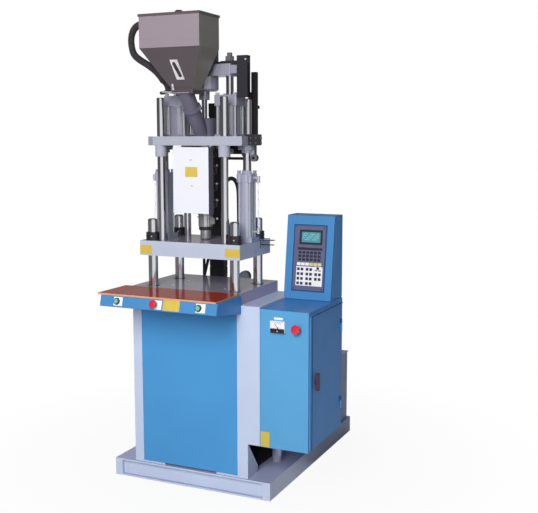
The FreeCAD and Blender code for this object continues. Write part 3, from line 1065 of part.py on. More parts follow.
def main():
    os.makedirs("parts", exist_ok=True)
    shapes = {name: build() for name, build in NODES.items()}
    shapes["start_button_left"] = start_button(START_BUTTON_X[0])
    shapes["start_button_right"] = start_button(START_BUTTON_X[1])
    shapes["apron_stop"] = mushroom(20, apron_point(APRON_STOP_X), APRON_NORMAL)
    shapes["cabinet_stop"] = mushroom(24, V(CAB_STOP_X, CAB_Y0, CAB_STOP_Z), V(0, -1, 0))
    for name, shape in shapes.items():
        shape.exportStep("parts/%s.step" % name)
        if not shape.isValid():
            print("not valid:", name)
    print(len(shapes), "parts")


main()
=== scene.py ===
"""Vertical injection moulding machine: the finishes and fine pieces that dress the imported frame.

The axes are the frame's own.  Places and sizes of pieces stand in millimetres, as on a drawing, and mm()
turns them into metres.  The stage and the facts of the hoses are in metres.
"""
import json
import math

import bmesh
import bpy
from bpy.props import FloatProperty, FloatVectorProperty, PointerProperty
from mathutils import Matrix, Vector


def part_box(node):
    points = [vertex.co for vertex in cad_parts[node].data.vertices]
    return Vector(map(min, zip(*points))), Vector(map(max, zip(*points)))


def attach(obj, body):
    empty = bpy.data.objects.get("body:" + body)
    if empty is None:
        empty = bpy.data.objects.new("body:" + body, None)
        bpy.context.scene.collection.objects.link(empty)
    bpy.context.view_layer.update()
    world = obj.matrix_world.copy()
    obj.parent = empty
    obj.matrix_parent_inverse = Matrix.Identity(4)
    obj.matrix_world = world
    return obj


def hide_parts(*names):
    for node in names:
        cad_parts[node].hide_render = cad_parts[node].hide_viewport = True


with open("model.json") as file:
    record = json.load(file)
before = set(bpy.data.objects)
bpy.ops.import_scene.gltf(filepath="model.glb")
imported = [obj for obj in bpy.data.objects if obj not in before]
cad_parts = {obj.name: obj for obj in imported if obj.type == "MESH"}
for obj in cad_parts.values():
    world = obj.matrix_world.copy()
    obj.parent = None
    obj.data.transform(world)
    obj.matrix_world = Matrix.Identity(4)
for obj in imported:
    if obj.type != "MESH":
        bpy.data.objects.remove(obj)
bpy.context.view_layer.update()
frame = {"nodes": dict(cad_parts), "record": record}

bl_info = {
    "name": "Vertical injection moulding machine",
    "version": (1, 0, 0),
    "blender": (4, 5, 0),
    "location": "View3D > Sidebar > Moulding machine",
    "description": "Dresses a four-bar vertical moulding machine with its paints, panels, hoses and plates",
    "category": "Add Mesh",
}

UP = Vector((0, 0, 1))
FRONT = Vector((0, -1, 0))
RIGHT = Vector((1, 0, 0))
X, Y, Z = 0, 1, 2
AXIS_Y = -402  # the middle of the barrel and of every cylinder, front to back


def mm(*values):
    """Drawing sizes in millimetres as metres: one number, or a point."""
    if len(values) == 1:
        return values[0] / 1000
    return Vector(values) / 1000


def colour(name, about, value):
    """A colour that the sidebar shows."""
    return FloatVectorProperty(name=name, description=about, default=value, subtype="COLOR", size=3,
                               min=0, max=1)


def length(name, about, value):
    """A size in metres that the sidebar shows."""
    return FloatProperty(name=name, description=about, unit="LENGTH", default=value, min=0)


class MachineColours(bpy.types.PropertyGroup):
    """Paint, plating and plastic colours of the machine."""
    frame_paint: colour("Frame paint", "Lavender grey of the base, housing and table", (0.50, 0.57, 0.72))
    # Side blue is painted shade: a bluer, darker copy of the blue for the door and the sides.
    side_blue: colour("Side blue", "Blue of the door and the console's sides", (0.095, 0.365, 0.80))
    panel_blue: colour("Panel blue", "Blue of the housing's front panel", (0.064, 0.28, 0.57))
    cabinet_blue: colour("Cabinet blue", "Lighter blue of the cabinet", (0.096, 0.33, 0.585))
    blue_paint: colour("Console blue", "Blue of the console and apron", (0.067, 0.235, 0.478))
    # The cabinet's top blue is painted shade: a darker copy of the cabinet's blue.
    blue_shade: colour("Blue shade", "Darker blue of the cabinet's top", (0.055, 0.22, 0.55))
    platen_paint: colour("Platen paint", "Light grey of the platens' edges", (0.455, 0.50, 0.61))
    carriage_paint: colour("Carriage paint", "Grey of the guide bar and its bushes", (0.365, 0.375, 0.445))
    cylinder_paint: colour("Cylinder paint", "Grey of the lift cylinders", (0.33, 0.34, 0.45))
    drive_paint: colour("Drive paint", "Grey of the injection cylinders and crosshead", (0.27, 0.27, 0.34))
    pipe_paint: colour("Pipe paint", "Darker grey of the feed pipe and feed block", (0.13, 0.125, 0.17))
    dark_plate: colour("Dark plate", "Polished tops of the table and the moving platen", (0.31, 0.29, 0.345))
    board_red: colour("Board", "Red-brown face of the work board", (0.355, 0.048, 0.027))
    board_edge: colour("Board edge", "Tan edge of the work board", (0.68, 0.33, 0.17))
    cover_white: colour("Cover white", "Powder coat of the heater cover", (0.70, 0.715, 0.79))
    hopper_steel: colour("Hopper steel", "Brushed sheet of the hopper's upright walls", (0.335, 0.28, 0.315))
    cone_steel: colour("Cone steel", "Duller sheet of the hopper's taper", (0.10, 0.083, 0.091))
    chrome: colour("Chrome", "Hard chrome of the bars and rods", (0.66, 0.66, 0.69))
    bright_steel: colour("Bright steel", "Turned and ground steel", (0.45, 0.45, 0.47))
    zinc: colour("Zinc", "Zinc plate of the fittings and nuts", (0.62, 0.62, 0.65))
    bronze: colour("Bronze", "Bearing bushes", (0.45, 0.26, 0.09))
    black_steel: colour("Black steel", "Black oxide of the rails, strips and nuts", (0.028, 0.027, 0.032))
    rubber: colour("Rubber", "Arched hose and the air hose's elbow", (0.018, 0.017, 0.019))
    panel_grey: colour("Panel grey", "Face of the operating panel", (0.115, 0.12, 0.20))
    display: colour("Display", "Backlit display", (0.06, 0.21, 0.25))
    stop_red: colour("Stop red", "Emergency stop buttons", (0.62, 0.02, 0.05))
    start_green: colour("Start green", "Rims of the start buttons", (0.02, 0.14, 0.09))
    plate_yellow: colour("Plate yellow", "Bare yellow plates", (0.58, 0.44, 0.075))
    white_plastic: colour("White plastic", "Keys, their plates and the meter", (0.80, 0.80, 0.82))
    dark_plastic: colour("Dark plastic", "Collars, knobs and the meter's marks", (0.018, 0.017, 0.024))
    floor: colour("Floor", "Pale floor", (0.50, 0.50, 0.51))


class MachineSizes(bpy.types.PropertyGroup):
    """Sizes that a user would change."""
    edge: length("Edge", "Radius broken on machined and folded edges", mm(1.2))
    rib_pitch: length("Rib pitch", "Distance between the hopper hose's ribs", mm(6.5))
    rib_depth: length("Rib depth", "Depth of the hopper hose's grooves", mm(2.2))
    rib_stand: length("Rib stand", "How far the hopper hose's ribs stand out of its plain diameter", mm(2.2))
    legend: length("Legend plate", "Width of the white plates behind the buttons", mm(50))
    plate_t: length("Plate thickness", "Thickness of the stuck-on plates", mm(1))
    lens: length("Lens", "Focal length of the camera", 0.0598)


def colours():
    return bpy.context.scene.machine_colours


def sizes():
    return bpy.context.scene.machine_sizes


# ---------------------------------------------------------------- shader nodes
def feed(socket, value):
    """Gives a socket a constant, or links another node's output to it."""
    if isinstance(value, bpy.types.NodeSocket):
        socket.id_data.links.new(value, socket)
    else:
        socket.default_value = value


def add_node(tree, kind, sockets=None, **settings):
    """A new node; sockets gives the constants and the outputs that feed its inputs."""
    made = tree.nodes.new(kind)
    for key, value in settings.items():
        setattr(made, key, value)
    for name, value in (sockets or {}).items():
        feed(made.inputs[name], value)
    return made


def calculated(tree, operation, *values):
    """A Math node's result; each value is a number or another node's output."""
    return add_node(tree, "ShaderNodeMath", dict(enumerate(values)), operation=operation).outputs[0]


# ---------------------------------------------------------------- finishes
NOISE_LOW, NOISE_HIGH = 0.3, 0.7  # nearly all of a noise texture lies between these
EVEN, COARSE_LINES, FINE_LINES = (1, 1, 1), (1, 1, 6), (1, 1, 14)  # stretched noise draws level lines


class Finish:
    """A material in the making: its shader and the helpers that feed it."""

    def __init__(self, name):
        self.material = bpy.data.materials.new(name + "_finish")
        self.material.use_nodes = True
        self.tree = self.material.node_tree
        self.shader = self.tree.nodes["Principled BSDF"]
        self.coordinates = self.node("ShaderNodeTexCoord").outputs["Object"]

    def node(self, kind, sockets=None, **settings):
        return add_node(self.tree, kind, sockets, **settings)

    def set(self, **values):
        """Feeds the shader's sockets, named with underscores for spaces."""
        for key, value in values.items():
            feed(self.shader.inputs[key.replace("_", " ")], value)

    def noise(self, scale, detail, stretch=EVEN):
        place = self.node("ShaderNodeMapping", {"Vector": self.coordinates, "Scale": stretch})
        sockets = {"Vector": place.outputs["Vector"], "Scale": scale, "Detail": detail}
        return self.node("ShaderNodeTexNoise", sockets).outputs["Fac"]

    def between(self, fac, low, high):
        """A number that runs from low to high as the noise does."""
        sockets = {"Value": fac, "From Min": NOISE_LOW, "From Max": NOISE_HIGH, "To Min": low, "To Max": high}
        return self.node("ShaderNodeMapRange", sockets).outputs["Result"]

    def tint(self, fac, base, spread):
        """Base colour that drifts by a share of itself."""
        ramp = self.node("ShaderNodeValToRGB", {"Fac": fac})
        darker, lighter = ramp.color_ramp.elements
        darker.position, lighter.position = NOISE_LOW, NOISE_HIGH
        darker.color = (*[part * (1 - spread) for part in base], 1)
        lighter.color = (*[min(1, part * (1 + spread)) for part in base], 1)
        self.set(Base_Color=ramp.outputs["Color"])

    def bump(self, height, distance):
        relief = self.node("ShaderNodeBump", {"Height": height, "Distance": distance, "Strength": 1.0})
        self.set(Normal=relief.outputs["Normal"])


def painted(name, base, rough=0.34, peel=0.00005, spread=0.035, coat=0.0, coat_ior=1.5):
    """Sprayed machine enamel: faint orange peel, slow drift of colour and gloss."""
    made = Finish(name)
    made.tint(made.noise(3.1, 4), base, spread)
    made.bump(made.noise(420, 2), peel)
    made.set(Roughness=made.between(made.noise(11, 4), rough - 0.05, rough + 0.08), Specular_IOR_Level=0.30,
             Coat_Weight=coat, Coat_Roughness=0.12, Coat_IOR=coat_ior)


def metal(name, base, rough=0.2, stretch=EVEN, scale=300.0, scratch=0.00003, edge=0.5, spread=0.06,
          metallic=1.0):
    """Bare or plated metal with tool marks stretched along one direction."""
    made = Finish(name)
    made.tint(made.noise(5, 4), base, spread)
    marks = made.noise(scale, 3, stretch)
    if scratch:
        made.bump(marks, scratch)
    made.set(Roughness=made.between(marks, rough * 0.75, rough * 1.35), Metallic=metallic,
             Specular_Tint=(edge, edge, edge, 1))


def brushed(name, base, rough=0.36):
    """Sheet brushed level: fine lines along the sheet, crossed by soft stains."""
    made = Finish(name)
    made.tint(made.noise(1.0, 5, (3, 3, 700)), base, 0.045)
    made.bump(made.noise(1.0, 3, (12, 12, 900)), 0.00006)
    made.set(Roughness=made.between(made.noise(7, 4), rough - 0.07, rough + 0.08), Metallic=0.25,
             Specular_IOR_Level=0.25, Specular_Tint=(0.5, 0.5, 0.5, 1))


def moulded(name, base, rough=0.4, grain=0.00003, coat=0.0):
    """Moulded plastic with a fine grain."""
    made = Finish(name)
    made.tint(made.noise(16, 3), base, 0.05)
    made.bump(made.noise(900, 2), grain)
    made.set(Roughness=made.between(made.noise(60, 3), rough - 0.05, rough + 0.07), Specular_IOR_Level=0.4,
             Coat_Weight=coat, Coat_Roughness=0.08)


def rubber(name, base):
    """Dull hose rubber, worn paler in patches."""
    made = Finish(name)
    made.tint(made.noise(24, 4), base, 0.25)
    made.bump(made.noise(700, 3), 0.00008)
    made.set(Roughness=made.between(made.noise(70, 3), 0.42, 0.62))


def lacquered_board(name, base):
    """Glossy laminate with a faint fibrous figure."""
    made = Finish(name)
    made.tint(made.noise(1, 5, (14, 90, 14)), base, 0.12)
    made.set(Roughness=made.between(made.noise(9, 4), 0.10, 0.16), Specular_IOR_Level=0.08)


def polished_plate(name, base):
    """Ground plate under dark lacquer, a dull mirror."""
    made = Finish(name)
    made.tint(made.noise(4, 4), base, 0.10)
    made.bump(made.noise(1, 3, (260, 9, 9)), 0.00001)
    made.set(Roughness=made.between(made.noise(13, 4, (1, 3, 1)), 0.07, 0.15), Specular_IOR_Level=0.5)


def lit_display(name, base):
    """Backlit glass that glows faintly in its own colour."""
    made = Finish(name)
    made.tint(made.noise(30, 2, COARSE_LINES), base, 0.08)
    made.set(Roughness=0.18, Emission_Strength=0.45, Emission_Color=(*base, 1))


def clear_tube(name):
    """Milky plastic tube that lets some light through."""
    made = Finish(name)
    made.tint(made.noise(40, 2), (0.78, 0.80, 0.83), 0.06)
    made.set(Roughness=0.25, Transmission_Weight=0.35, IOR=1.42)


def dark_glass(name):
    """Sight glass with dark pellets behind it."""
    made = Finish(name)
    made.tint(made.noise(120, 3), (0.02, 0.018, 0.022), 0.4)
    made.set(Roughness=0.12, Coat_Weight=0.8, Coat_Roughness=0.04)


def build_paints(chosen):
    """Enamels, lacquers and blackened steel; chosen holds the colours that a user can change."""
    # Among these, the side blue and the cabinet's top blue are painted shade.
    for name in ("frame_paint", "blue_paint", "panel_blue", "cabinet_blue", "side_blue", "blue_shade",
                 "black_steel"):
        painted(name, getattr(chosen, name))
    # A dark navy for the console's top and the door's hinge edge: painted shade.
    painted("top_shade", (0.03, 0.10, 0.26))
    # Darker copy of the frame paint for the decks that face up: painted shade.
    painted("deck_paint", (0.36, 0.388, 0.55))
    # Darker copy of the frame paint for the table's right end: painted shade.
    painted("table_side", (0.43, 0.39, 0.52))
    # Bluer copy of the console blue for the apron's right end: painted shade.
    painted("apron_end", (0.042, 0.247, 0.60))
    painted("seal_blue", (0.018, 0.035, 0.085), rough=0.5)
    # Dark navy frame round the operating panel: painted shade of the panel's recess.
    painted("panel_border", (0.02, 0.065, 0.20), rough=0.4)
    painted("platen_paint", chosen.platen_paint, rough=0.30)
    # Lighter copy of the platen paint for the moving platen's right end: painted light.
    painted("platen_end", (0.53, 0.575, 0.68), rough=0.30)
    painted("carriage_paint", chosen.carriage_paint, rough=0.30)
    glossy = {"rough": 0.18, "peel": 0.00002, "coat": 1.0, "coat_ior": 2.0}
    painted("cylinder_paint", chosen.cylinder_paint, **glossy)
    # The left cylinder's darker copy of the drive paint is painted shade, and the right one's lighter copy is
    # painted light.
    for name, share in (("drive_paint", 1), ("left_cylinder", 0.76), ("right_cylinder", 1.06)):
        painted(name, [share * part for part in chosen.drive_paint], **glossy)
    painted("pipe_paint", chosen.pipe_paint, peel=0.0002)
    painted("motor_paint", (0.30, 0.31, 0.36), peel=0.0001)
    painted("cover_white", chosen.cover_white, rough=0.42)
    # Dark grey for the heater cover's sides: painted shade.
    painted("cover_side", (0.13, 0.13, 0.155), rough=0.40)
    painted("board_edge", chosen.board_edge, rough=0.38)
    painted("plate_yellow", chosen.plate_yellow, rough=0.45, peel=0.00001)
    painted("plate_white", (0.80, 0.82, 0.88), rough=0.45, peel=0.00001)
    # Grey dial face of the gauge, darker than a white dial: painted shade.
    painted("dial_grey", (0.33, 0.33, 0.35), rough=0.4, peel=0.00001)
    painted("bush_grey", (0.12, 0.12, 0.13), rough=0.3)
    painted("cheek_grey", (0.075, 0.075, 0.072), rough=0.4, peel=0.0003, spread=0.35)
    # Dark brown for the tray inside the housing: painted shade of the housing's dark inside.
    painted("oily_steel", (0.055, 0.036, 0.036), rough=0.22, peel=0.0001, spread=0.35)
    painted("rail_black", (0.012, 0.011, 0.013), rough=0.3)
    painted("switch_red", (0.13, 0.025, 0.035), rough=0.36)
    polished_plate("dark_plate", chosen.dark_plate)
    lacquered_board("red_board", chosen.board_red)


def build_metals(chosen):
    """Chrome, plating, bearing metal and brushed sheet."""
    metal("chrome_bar", chosen.chrome, rough=0.085, scale=9, scratch=0, edge=0.22, spread=0.02)
    metal("tie_rod", (0.52, 0.54, 0.57), rough=0.22, stretch=FINE_LINES, metallic=0.6)
    metal("bronze", chosen.bronze, rough=0.3, stretch=FINE_LINES)
    metal("ground_steel", chosen.bright_steel, rough=0.22, stretch=FINE_LINES)
    metal("band_bright", (0.50, 0.49, 0.50), rough=0.14, stretch=COARSE_LINES, scale=130, scratch=0.0001,
          edge=0.4, spread=0.4, metallic=0.7)
    metal("heater_metal", (0.22, 0.20, 0.19), rough=0.3, stretch=COARSE_LINES, scale=240, scratch=0.00005)
    metal("zinc_plate", chosen.zinc, rough=0.28, edge=0.6, metallic=0.5)
    brushed("hopper_steel", chosen.hopper_steel)
    brushed("cone_steel", chosen.cone_steel)
    # The olive copy for the right-facing upright walls and the lighter copy for the taper's right side are
    # painted reflection of the bright surroundings.
    brushed("olive_steel", (0.33, 0.315, 0.28))
    brushed("cone_side", (0.30, 0.28, 0.25))
    brushed("lid_steel", (0.20, 0.175, 0.175))
    brushed("lid_edge", (0.125, 0.105, 0.11))
    brushed("sight_frame", (0.66, 0.63, 0.64), rough=0.3)


def build_plastics(chosen):
    """Mouldings, rubber, the display and the sight glass."""
    moulded("collar_black", (0.022, 0.020, 0.022), rough=0.30, grain=0.00006)
    moulded("white_plastic", chosen.white_plastic)
    moulded("dark_plastic", chosen.dark_plastic, rough=0.42)
    moulded("panel_grey", chosen.panel_grey, rough=0.45)
    moulded("key_dark", (0.03, 0.028, 0.04))
    moulded("key_yellow", (0.66, 0.58, 0.24))
    moulded("lock_plastic", (0.085, 0.04, 0.075))
    moulded("ceramic", (0.78, 0.76, 0.70), rough=0.35)
    moulded("black_trunk", (0.014, 0.014, 0.016), rough=0.42, grain=0.0001)
    moulded("red_plastic", chosen.stop_red, rough=0.28, coat=0.5)
    moulded("green_plastic", chosen.start_green, rough=0.28, coat=0.5)
    moulded("green_lens", (0.20, 0.42, 0.33), rough=0.3, coat=0.5)
    rubber("black_rubber", chosen.rubber)
    rubber("hose_grey", (0.040, 0.034, 0.039))
    lit_display("display", chosen.display)
    lit_display("display_marks", (0.24, 0.46, 0.46))
    clear_tube("clear_tube")
    dark_glass("dark_glass")


# ---------------------------------------------------------------- shapes
def beveled(shape, edges, width, segments):
    """Rounds the named edges of a shape."""
    bmesh.ops.bevel(shape, geom=edges, offset=width, offset_type="OFFSET", segments=segments, profile=0.5,
                    affect="EDGES", clamp_overlap=True, material=-1)


def rounded(shape, width, least=30):
    """Breaks the edges whose faces turn by more than a few degrees."""
    if width > 0:
        sharp = math.radians(least)
        corners = [e for e in shape.edges if len(e.link_faces) == 2 and e.calc_face_angle(0) > sharp]
        beveled(shape, corners, width, 2)
    return shape


def block(low, high, edge=0.0, upright=0.0, along=UP):
    """A box between two corners; upright rounds the corners that run along one direction first."""
    shape = bmesh.new()
    bmesh.ops.create_cube(shape, size=1.0)
    bmesh.ops.scale(shape, vec=high - low, verts=shape.verts)
    bmesh.ops.translate(shape, vec=(low + high) / 2, verts=shape.verts)
    if upright:
        ways = {e: (e.verts[0].co - e.verts[1].co).normalized() for e in shape.edges}
        lines = [e for e in shape.edges if abs(ways[e].dot(along)) > 0.99]
        beveled(shape, lines, upright, 5)
    return rounded(shape, edge)


def front_plate(across, heights, face, thickness, corner=0.0):
    """A thin plate on a face that looks to the front, between two places across and two heights."""
    low = Vector((mm(across[0]), face - thickness, mm(heights[0])))
    high = Vector((mm(across[1]), face, mm(heights[1])))
    return block(low, high, mm(0.3), mm(corner), FRONT)


def placed(shape, start, direction=UP):
    """Moves an upright shape from the origin to start and turns it along a direction."""
    turn = UP.rotation_difference(Vector(direction)).to_matrix().to_4x4()
    bmesh.ops.transform(shape, matrix=Matrix.Translation(start) @ turn, verts=shape.verts)
    return shape


def turned(profile, start, direction=UP, steps=48):
    """A turned piece: (radius, height) pairs in millimetres, spun about the line from start."""
    shape = bmesh.new()
    line = [shape.verts.new((mm(r), 0, mm(h))) for r, h in profile]
    edges = [shape.edges.new(pair) for pair in zip(line, line[1:])]
    bmesh.ops.spin(shape, geom=line + edges, cent=(0, 0, 0), axis=UP, angle=math.tau, steps=steps,
                   use_merge=True)
    bmesh.ops.remove_doubles(shape, verts=shape.verts, dist=1e-6)
    bmesh.ops.recalc_face_normals(shape, faces=shape.faces)
    return placed(shape, start, direction)


def standing_rod(radius, height, segments):
    """A closed cylinder that stands on the origin."""
    shape = bmesh.new()
    bmesh.ops.create_cone(shape, cap_ends=True, segments=segments, radius1=radius, radius2=radius,
                          depth=height)
    bmesh.ops.translate(shape, vec=(0, 0, height / 2), verts=shape.verts)
    return shape


def rod(radius, start, end, edge=0.0, segments=32):
    """A round bar between two points, its end rims broken by edge."""
    shape = rounded(standing_rod(radius, (end - start).length, segments), edge, least=60)
    return placed(shape, start, end - start)


def socket_screw(radius, start, direction, height):
    """A cap screw with its round socket."""
    shape = standing_rod(radius, height, 24)
    top = [f for f in shape.faces if f.normal.z > 0.9]
    bmesh.ops.inset_region(shape, faces=top, thickness=radius * 0.45, use_even_offset=True)
    bmesh.ops.translate(shape, vec=(0, 0, -height * 0.6), verts=top[0].verts)
    return placed(shape, start, direction)


def level_ways(first):
    """Four level directions a quarter turn apart, the first at an angle in degrees."""
    return [Matrix.Rotation(math.radians(first + 90 * quarter), 3, "Z") @ RIGHT for quarter in range(4)]


def extruded(shape, height):
    """Raises a flat sheet into a closed plate."""
    raised = bmesh.ops.extrude_face_region(shape, geom=list(shape.faces))["geom"]
    corners = [item for item in raised if isinstance(item, bmesh.types.BMVert)]
    bmesh.ops.translate(shape, vec=(0, 0, height), verts=corners)
    bmesh.ops.recalc_face_normals(shape, faces=shape.faces)
    return shape


def leaning_face(foot, head):
    """Matrix of a leaning sheet: along the machine's width, up the sheet, out of it."""
    up = (head - foot).normalized()
    turn = Matrix((RIGHT, up, RIGHT.cross(up))).transposed().to_4x4()
    return Matrix.Translation(foot) @ turn


def plate_on(face, low, high, edge=0.2, corner=0.0):
    """A flat piece on a leaning face, between two corners given along, up and out in millimetres."""
    shape = block(mm(*low), mm(*high), mm(edge), mm(corner))
    bmesh.ops.transform(shape, matrix=face, verts=shape.verts)
    return shape


def surround_on(face, low, high, width):
    """A raised rectangular frame on a leaning face."""
    low, high = mm(*low), mm(*high)
    shape = bmesh.new()
    bmesh.ops.create_grid(shape, x_segments=1, y_segments=1, size=0.5)
    bmesh.ops.scale(shape, vec=(high.x - low.x, high.y - low.y, 1), verts=shape.verts)
    bmesh.ops.translate(shape, vec=((low.x + high.x) / 2, (low.y + high.y) / 2, low.z), verts=shape.verts)
    middle = list(shape.faces)
    bmesh.ops.inset_region(shape, faces=middle, thickness=mm(width), use_even_offset=True, use_boundary=True)
    bmesh.ops.delete(shape, geom=middle, context="FACES_ONLY")
    rounded(extruded(shape, high.z - low.z), mm(0.3))
    bmesh.ops.transform(shape, matrix=face, verts=shape.verts)
    return shape


# ---------------------------------------------------------------- pieces
class Piece:
    """One named piece of the dressed machine, put together from shapes in several finishes."""

    def __init__(self, name, *finishes):
        self.name = name
        self.finishes = list(finishes)
        self.shape = bmesh.new()

    def add(self, part, finish=None):
        """Adds a shape in one of the piece's finishes, the first where none is named."""
        index = self.finishes.index(finish) if finish else 0
        for face in part.faces:
            face.material_index = index
        self.merge(part)

    def merge(self, part):
        passing = bpy.data.meshes.new("passing")
        part.to_mesh(passing)
        part.free()
        self.shape.from_mesh(passing)
        bpy.data.meshes.remove(passing)

    def done(self, body, slot, *replaced):
        """Makes the object, hangs it on its body's empty and hides the nodes it stands for; slot is not used.
        """
        mesh = bpy.data.meshes.new(self.name)
        self.shape.to_mesh(mesh)
        self.shape.free()
        for finish in self.finishes:
            mesh.materials.append(bpy.data.materials[finish + "_finish"])
        mesh.shade_smooth()
        mesh.set_sharp_from_angle(angle=math.radians(38))
        made = bpy.data.objects.new(self.name, mesh)
        bpy.context.scene.collection.objects.link(made)
        flat = made.modifiers.new("flat_faces_stay_flat", "WEIGHTED_NORMAL")
        flat.keep_sharp = True
        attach(made, body)
        if replaced:
            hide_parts(*replaced)
        return made


def body_and_slot(node):
    """The body that carries a node, and the node's material slot, from the frame's record."""
    slots = {row["node"]: row["material_slot"] for row in frame["record"]["subparts"]}
    bodies = {name: body for body, names in frame["record"]["behaviour"]["bodies"].items() for name in names}
    return bodies[node], slots[node]


def joined_mesh(node):
    """A copy of a node's mesh with its loose triangles joined and its flat faces made whole."""
    shape = bmesh.new()
    shape.from_mesh(frame["nodes"][node].data)
    bmesh.ops.remove_doubles(shape, verts=shape.verts, dist=2e-6)
    bmesh.ops.dissolve_limit(shape, angle_limit=math.radians(0.4), verts=shape.verts, edges=shape.edges)
    return shape


def dressed(node, *finishes, pick=None, edge=None, extra=None, keep=None):
    """A node's own form with its edges broken by a width in millimetres.

    pick gives the finish of a face, extra adds to the piece, and keep says which corners of the form stay.
    """
    piece = Piece(node + "_finished", *finishes)
    shape = joined_mesh(node)
    if keep:
        bmesh.ops.delete(shape, geom=[v for v in shape.verts if not keep(v.co)], context="VERTS")
        open_edges = [e for e in shape.edges if e.is_boundary]
        if open_edges:
            bmesh.ops.holes_fill(shape, edges=open_edges, sides=0)
    for face in shape.faces:
        name = pick(face.calc_center_median(), face.normal) if pick else finishes[0]
        face.material_index = finishes.index(name)
    rounded(shape, sizes().edge if edge is None else mm(edge))
    piece.merge(shape)
    if extra:
        extra(piece)
    return piece.done(*body_and_slot(node), node)


# ---------------------------------------------------------------- finishes of faces
def facing(direction, there, elsewhere):
    """Picks one finish for the faces that look along a direction, and another for the rest."""
    return lambda centre, normal: there if normal.dot(direction) > 0.9 else elsewhere


def split(axis, place, beyond, before):
    """Picks one finish beyond a place on an axis, and another before it."""
    return lambda centre, normal: beyond if centre[axis] > mm(place) else before


def plate_faces(node, right_end, paint):
    """Picks the finishes of a thick plate that is polished on top and painted round its sides; its right end
    takes its own copy of the paint, with the light and shade of that end painted in.
    """
    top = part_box(node)[1].z

    def pick(centre, normal):
        if normal.z > 0.9 and centre.z > top - mm(1):
            return "dark_plate"
        return right_end if normal.x > 0.9 else paint

    return pick


def within(value, low, high):
    """Whether a length in metres lies between two drawing sizes."""
    return mm(low) < value < mm(high)


def off_axis(centre, axis):
    """Distance from the nearer of two upright axes that stand alike at the left and the right."""
    return math.hypot(abs(centre.x) - mm(axis[X]), centre.y - mm(axis[Y]))


# ---------------------------------------------------------------- operators
class MachineOperator(bpy.types.Operator):
    """Runs a step's make, which raises an error if it can't finish"""
    bl_options = {"REGISTER", "UNDO"}

    def execute(self, context):
        self.make()
        return {"FINISHED"}


TRAY_LOW, TRAY_HIGH = (-300, -560, 92), (300, -130, 95)


class MOULD_OT_base(MachineOperator):
    """Welded base, housing, its panels and the dark tray in it that paints the shade inside"""
    bl_idname = "mould.base"
    bl_label = "Base and housing"

    def make(self):
        # The base's upward decks take the darker deck colour, painted shade.
        dressed("base_frame", "frame_paint", "deck_paint", edge=1.8,
                pick=facing(UP, "deck_paint", "frame_paint"))
        dressed("body_housing", "frame_paint", edge=1.5)
        dressed("front_panel", "panel_blue", edge=0.8)
        dressed("rear_cover", "panel_blue", edge=0.5)
        # A dark sheet on the deck inside the housing: painted shade of its dark inside.
        tray = Piece("drip_tray", "oily_steel")
        tray.add(block(mm(*TRAY_LOW), mm(*TRAY_HIGH), mm(0.8), mm(10)))
        tray.done("frame", "black_steel")


class MOULD_OT_table(MachineOperator):
    """Table platen, its bushes and the board in front of it"""
    bl_idname = "mould.table"
    bl_label = "Table and board"

    def make(self):
        # The table's right end takes the darker copy of the frame paint, painted shade.
        dressed("table_platen", "frame_paint", "dark_plate", "table_side",
                pick=plate_faces("table_platen", "table_side", "frame_paint"))
        dressed("table_bushings", "bronze", edge=0.6)
        dressed("table_board", "board_edge", "red_board", edge=1.0,
                pick=lambda centre, normal: "red_board" if abs(normal.z) > 0.9 else "board_edge")


BAR_SPOTS = [(x, y) for x in (-233, 233) for y in (-536, -268)]
BAR_PROFILE = [(0, 324), (17, 324), (20, 327), (20, 430), (24, 430), (24, 1358), (23.2, 1362), (21, 1365.4),
               (17.5, 1367.4), (13, 1368), (0, 1368)]
SET_SCREW_HEIGHT, SET_SCREW_SEAT = 1280, 33
COLLAR_PROFILE = [(24.4, 1259.2), (34, 1259.2), (34, 1268), (32.4, 1269.5), (32.4, 1271.5), (34, 1273),
                  (34, 1287), (32.4, 1288.5), (32.4, 1290.5), (34, 1292), (34, 1297), (31.5, 1300),
                  (24.4, 1300), (24.4, 1259.2)]
LOWER_NUTS_TOP = 700
PLATEN_PLATES = [((-282, -215), (1191, 1236)), ((202, 282), (1197, 1239))]
PLATEN_SCREWS, PLATEN_SCREW_HEIGHT = (-150, 150), 1221
STRIKER_TIP = 296


